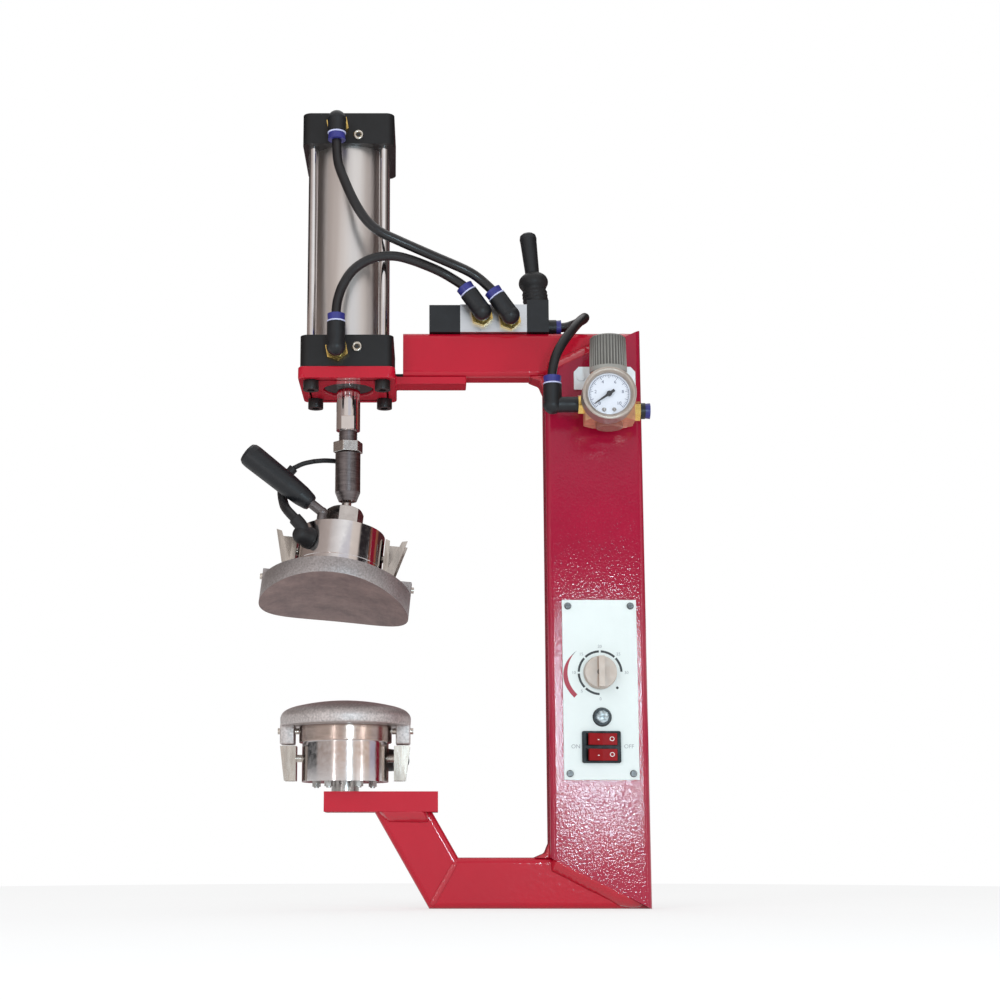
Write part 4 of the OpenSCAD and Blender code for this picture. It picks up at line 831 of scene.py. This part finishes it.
# Floor, world and lamps
FLOOR_R = 1.1
turns = [math.radians(6 * k) for k in range(60)]
ground = [(FLOOR_R * math.cos(turn), FLOOR_R * math.sin(turn), 0) for turn in turns]
floor_mesh = mesh_of("floor", ground, [tuple(range(60))], False)
floor = bpy.data.objects.new("floor", floor_mesh)
scene.collection.objects.link(floor)
paint = surface("floor_white", (0.93, 0.93, 0.93, 1), rough=0.9, vary=0.01, vary_scale=3, specular=0.0)
floor_mesh.materials.append(paint)


def seen_ray(tree):
    """One for rays from the camera, a mirror or a glass, zero for the rays that light the object."""
    path = tree.nodes.new("ShaderNodeLightPath")
    seen = tree.nodes.new("ShaderNodeMath")
    seen.operation = "MAXIMUM"
    tree.links.new(path.outputs["Is Camera Ray"], seen.inputs[0])
    tree.links.new(path.outputs["Is Glossy Ray"], seen.inputs[1])
    any_seen = tree.nodes.new("ShaderNodeMath")
    any_seen.operation = "MAXIMUM"
    tree.links.new(seen.outputs[0], any_seen.inputs[0])
    tree.links.new(path.outputs["Is Transmission Ray"], any_seen.inputs[1])
    return any_seen.outputs[0]


# The floor is seen white, and keeps the object's shadow
tree = paint.node_tree
white_share = add(tree, "ShaderNodeEmission", Color=(1, 1, 1, 1), Strength=1.0)
both = tree.nodes.new("ShaderNodeMixShader")
tree.links.new(ramp(tree, seen_ray(tree), 0.0, 1.0, 0.0, 0.6), both.inputs[0])
tree.links.new(tree.nodes["Principled BSDF"].outputs[0], both.inputs[1])
tree.links.new(white_share.outputs[0], both.inputs[2])
tree.links.new(both.outputs[0], tree.nodes["Material Output"].inputs["Surface"])

world = bpy.data.worlds.new("studio")
scene.world = world
world.use_nodes = True
tree = world.node_tree
sky = tree.nodes["Background"]
sky.inputs["Color"].default_value = (1, 1, 1, 1)
level = ramp(tree, seen_ray(tree), 0.0, 1.0, 0.76, 1.0)
tree.links.new(level, sky.inputs["Strength"])


def lamp(name, place, target, size, power, tint=(1, 1, 1)):
    data = bpy.data.lights.new(name, "AREA")
    data.color = tint
    data.shape = "RECTANGLE"
    data.size, data.size_y = size
    data.energy = power
    obj = bpy.data.objects.new(name, data)
    obj.location = place
    obj.rotation_euler = (Vector(target) - Vector(place)).to_track_quat("-Z", "Y").to_euler()
    scene.collection.objects.link(obj)


lamp("key", (-1.3, -1.7, 1.5), (-0.05, 0, 0.3), (1.2, 1.2), 7)
lamp("fill", (1.4, -1.6, 0.7), (0.0, 0, 0.3), (0.9, 1.4), 2)
lamp("top", (0.0, 0.4, 2.2), (-0.05, 0, 0.3), (1.5, 1.5), 4)
lamp("flash", (0.187, -1.4, 0.235), (0.05, 0, 0.15), (0.065, 0.27), 4.9, (0.64, 0.88, 1.0))
lamp("left_strip", (-0.8, -1.3, 0.3), (0.05, 0, 0.2), (0.07, 0.6), 1.3)
lamp("right_strip", (1.0, -1.1, 0.3), (0.05, 0, 0.2), (0.07, 0.6), 1.3)

# Glowing bands in a ring around the press, seen only in reflections: low and high edge, then the colours
# at azimuths in degrees from the front, with no colour where the ring is open
WHITE = (255, 255, 255)
BANDS = {
    "band_low": (0.142, 0.2, [
        (-150, (22, 22, 26)), (-80, (22, 22, 26)), (-72, (172, 156, 148)), (-36, (184, 166, 156)),
        (-30, (226, 200, 184)), (4, (226, 200, 184)), (8, None), (20, None), (22, (232, 208, 190)),
        (66, (220, 190, 168)), (71, (186, 180, 204)), (92, (178, 170, 190)), (98, (132, 106, 90)),
        (160, (112, 86, 74))]),
    "band_left": (0.36, 0.74, [(-150, (120, 106, 100)), (-76, (150, 134, 126))]),
    "band_mid": (0.5, 0.74, [
        (-76, (150, 134, 126)), (-70, (168, 156, 152)), (-42, (180, 168, 162)),
        (-30, (226, 216, 210)), (-2, (232, 224, 218)), (4, (214, 214, 222)), (28, (216, 214, 220)),
        (33, (230, 220, 212)), (52, (218, 206, 198)), (57, (32, 26, 30)), (84, (30, 24, 28))]),
    "band_right": (0.3, 0.74, [
        (84, (30, 24, 28)), (90, (150, 86, 64)), (112, (146, 84, 62)), (118, (70, 24, 30)),
        (160, (80, 24, 30))]),
    "band_high": (0.74, 1.3, [
        (-150, (48, 42, 40)), (-80, (60, 54, 52)), (-62, (170, 158, 152)), (-34, (184, 172, 166)),
        (-22, (212, 206, 204)), (-4, (240, 238, 238)), (8, WHITE), (34, WHITE), (44, (200, 192, 188)),
        (62, (178, 170, 166)), (74, (138, 130, 126)), (88, (70, 64, 62)), (160, (58, 52, 50))]),
    "band_front": (0.36, 0.5, [
        (-30, (150, 140, 146)), (-10, (110, 96, 104)), (40, (96, 82, 92)), (60, (140, 128, 134))]),
    "band_back": (0.0, 1.3, [(154, (98, 30, 38)), (179, (98, 30, 38)), (204, (98, 30, 38))]),
}
RING_R = 0.8


def band_paper(name, steps):
    """A glowing paper whose colour changes around the ring."""
    paper = surface(name, (0, 0, 0, 1), rough=0.9, vary=0.0, vary_scale=3)
    tree = paper.node_tree
    place = tree.nodes.new("ShaderNodeTexCoord")
    parts = tree.nodes.new("ShaderNodeSeparateXYZ")
    tree.links.new(place.outputs["Object"], parts.inputs["Vector"])
    front = add(tree, "ShaderNodeMath")
    front.operation = "MULTIPLY"
    front.inputs[1].default_value = -1.0
    tree.links.new(parts.outputs["Y"], front.inputs[0])
    around = tree.nodes.new("ShaderNodeMath")
    around.operation = "ARCTAN2"
    tree.links.new(parts.outputs["X"], around.inputs[0])
    tree.links.new(front.outputs[0], around.inputs[1])
    shades = tree.nodes.new("ShaderNodeValToRGB")
    stops = shades.color_ramp.elements
    steps = [(turn, colour or WHITE) for turn, colour in steps if turn < 180]
    for stop, (turn, colour) in zip((stops[0], stops[1]), (steps[0], steps[-1])):
        stop.position = (turn + 180) / 360
        stop.color = srgb(*colour)
    for turn, colour in steps[1:-1]:
        stops.new((turn + 180) / 360).color = srgb(*colour)
    tree.links.new(ramp(tree, around.outputs[0], -math.pi, math.pi), shades.inputs[0])
    glow = tree.nodes["Principled BSDF"]
    tree.links.new(shades.outputs["Color"], glow.inputs["Emission Color"])
    glow.inputs["Emission Strength"].default_value = 1.0
    return paper


for name, (low, high, steps) in BANDS.items():
    corners, faces = [], []
    for (start, first), (end, last) in zip(steps, steps[1:]):
        if first is None and last is None:
            continue
        count = max(1, int((end - start) / 4))
        for k in range(count):
            base = len(corners)
            for turn in (start + (end - start) * k / count, start + (end - start) * (k + 1) / count):
                turn = math.radians(turn)
                corners += [(RING_R * math.sin(turn), -RING_R * math.cos(turn), z) for z in (low, high)]
            faces.append((base, base + 1, base + 3, base + 2))
    band = bpy.data.objects.new(name, mesh_of(name, corners, faces, False))
    band.location = (PRESS_X, 0, 0)
    scene.collection.objects.link(band)
    band.data.materials.append(band_paper(name + "_paper", steps))
    band.visible_camera = False
    band.visible_diffuse = False
    band.visible_shadow = False
    band.visible_transmission = False
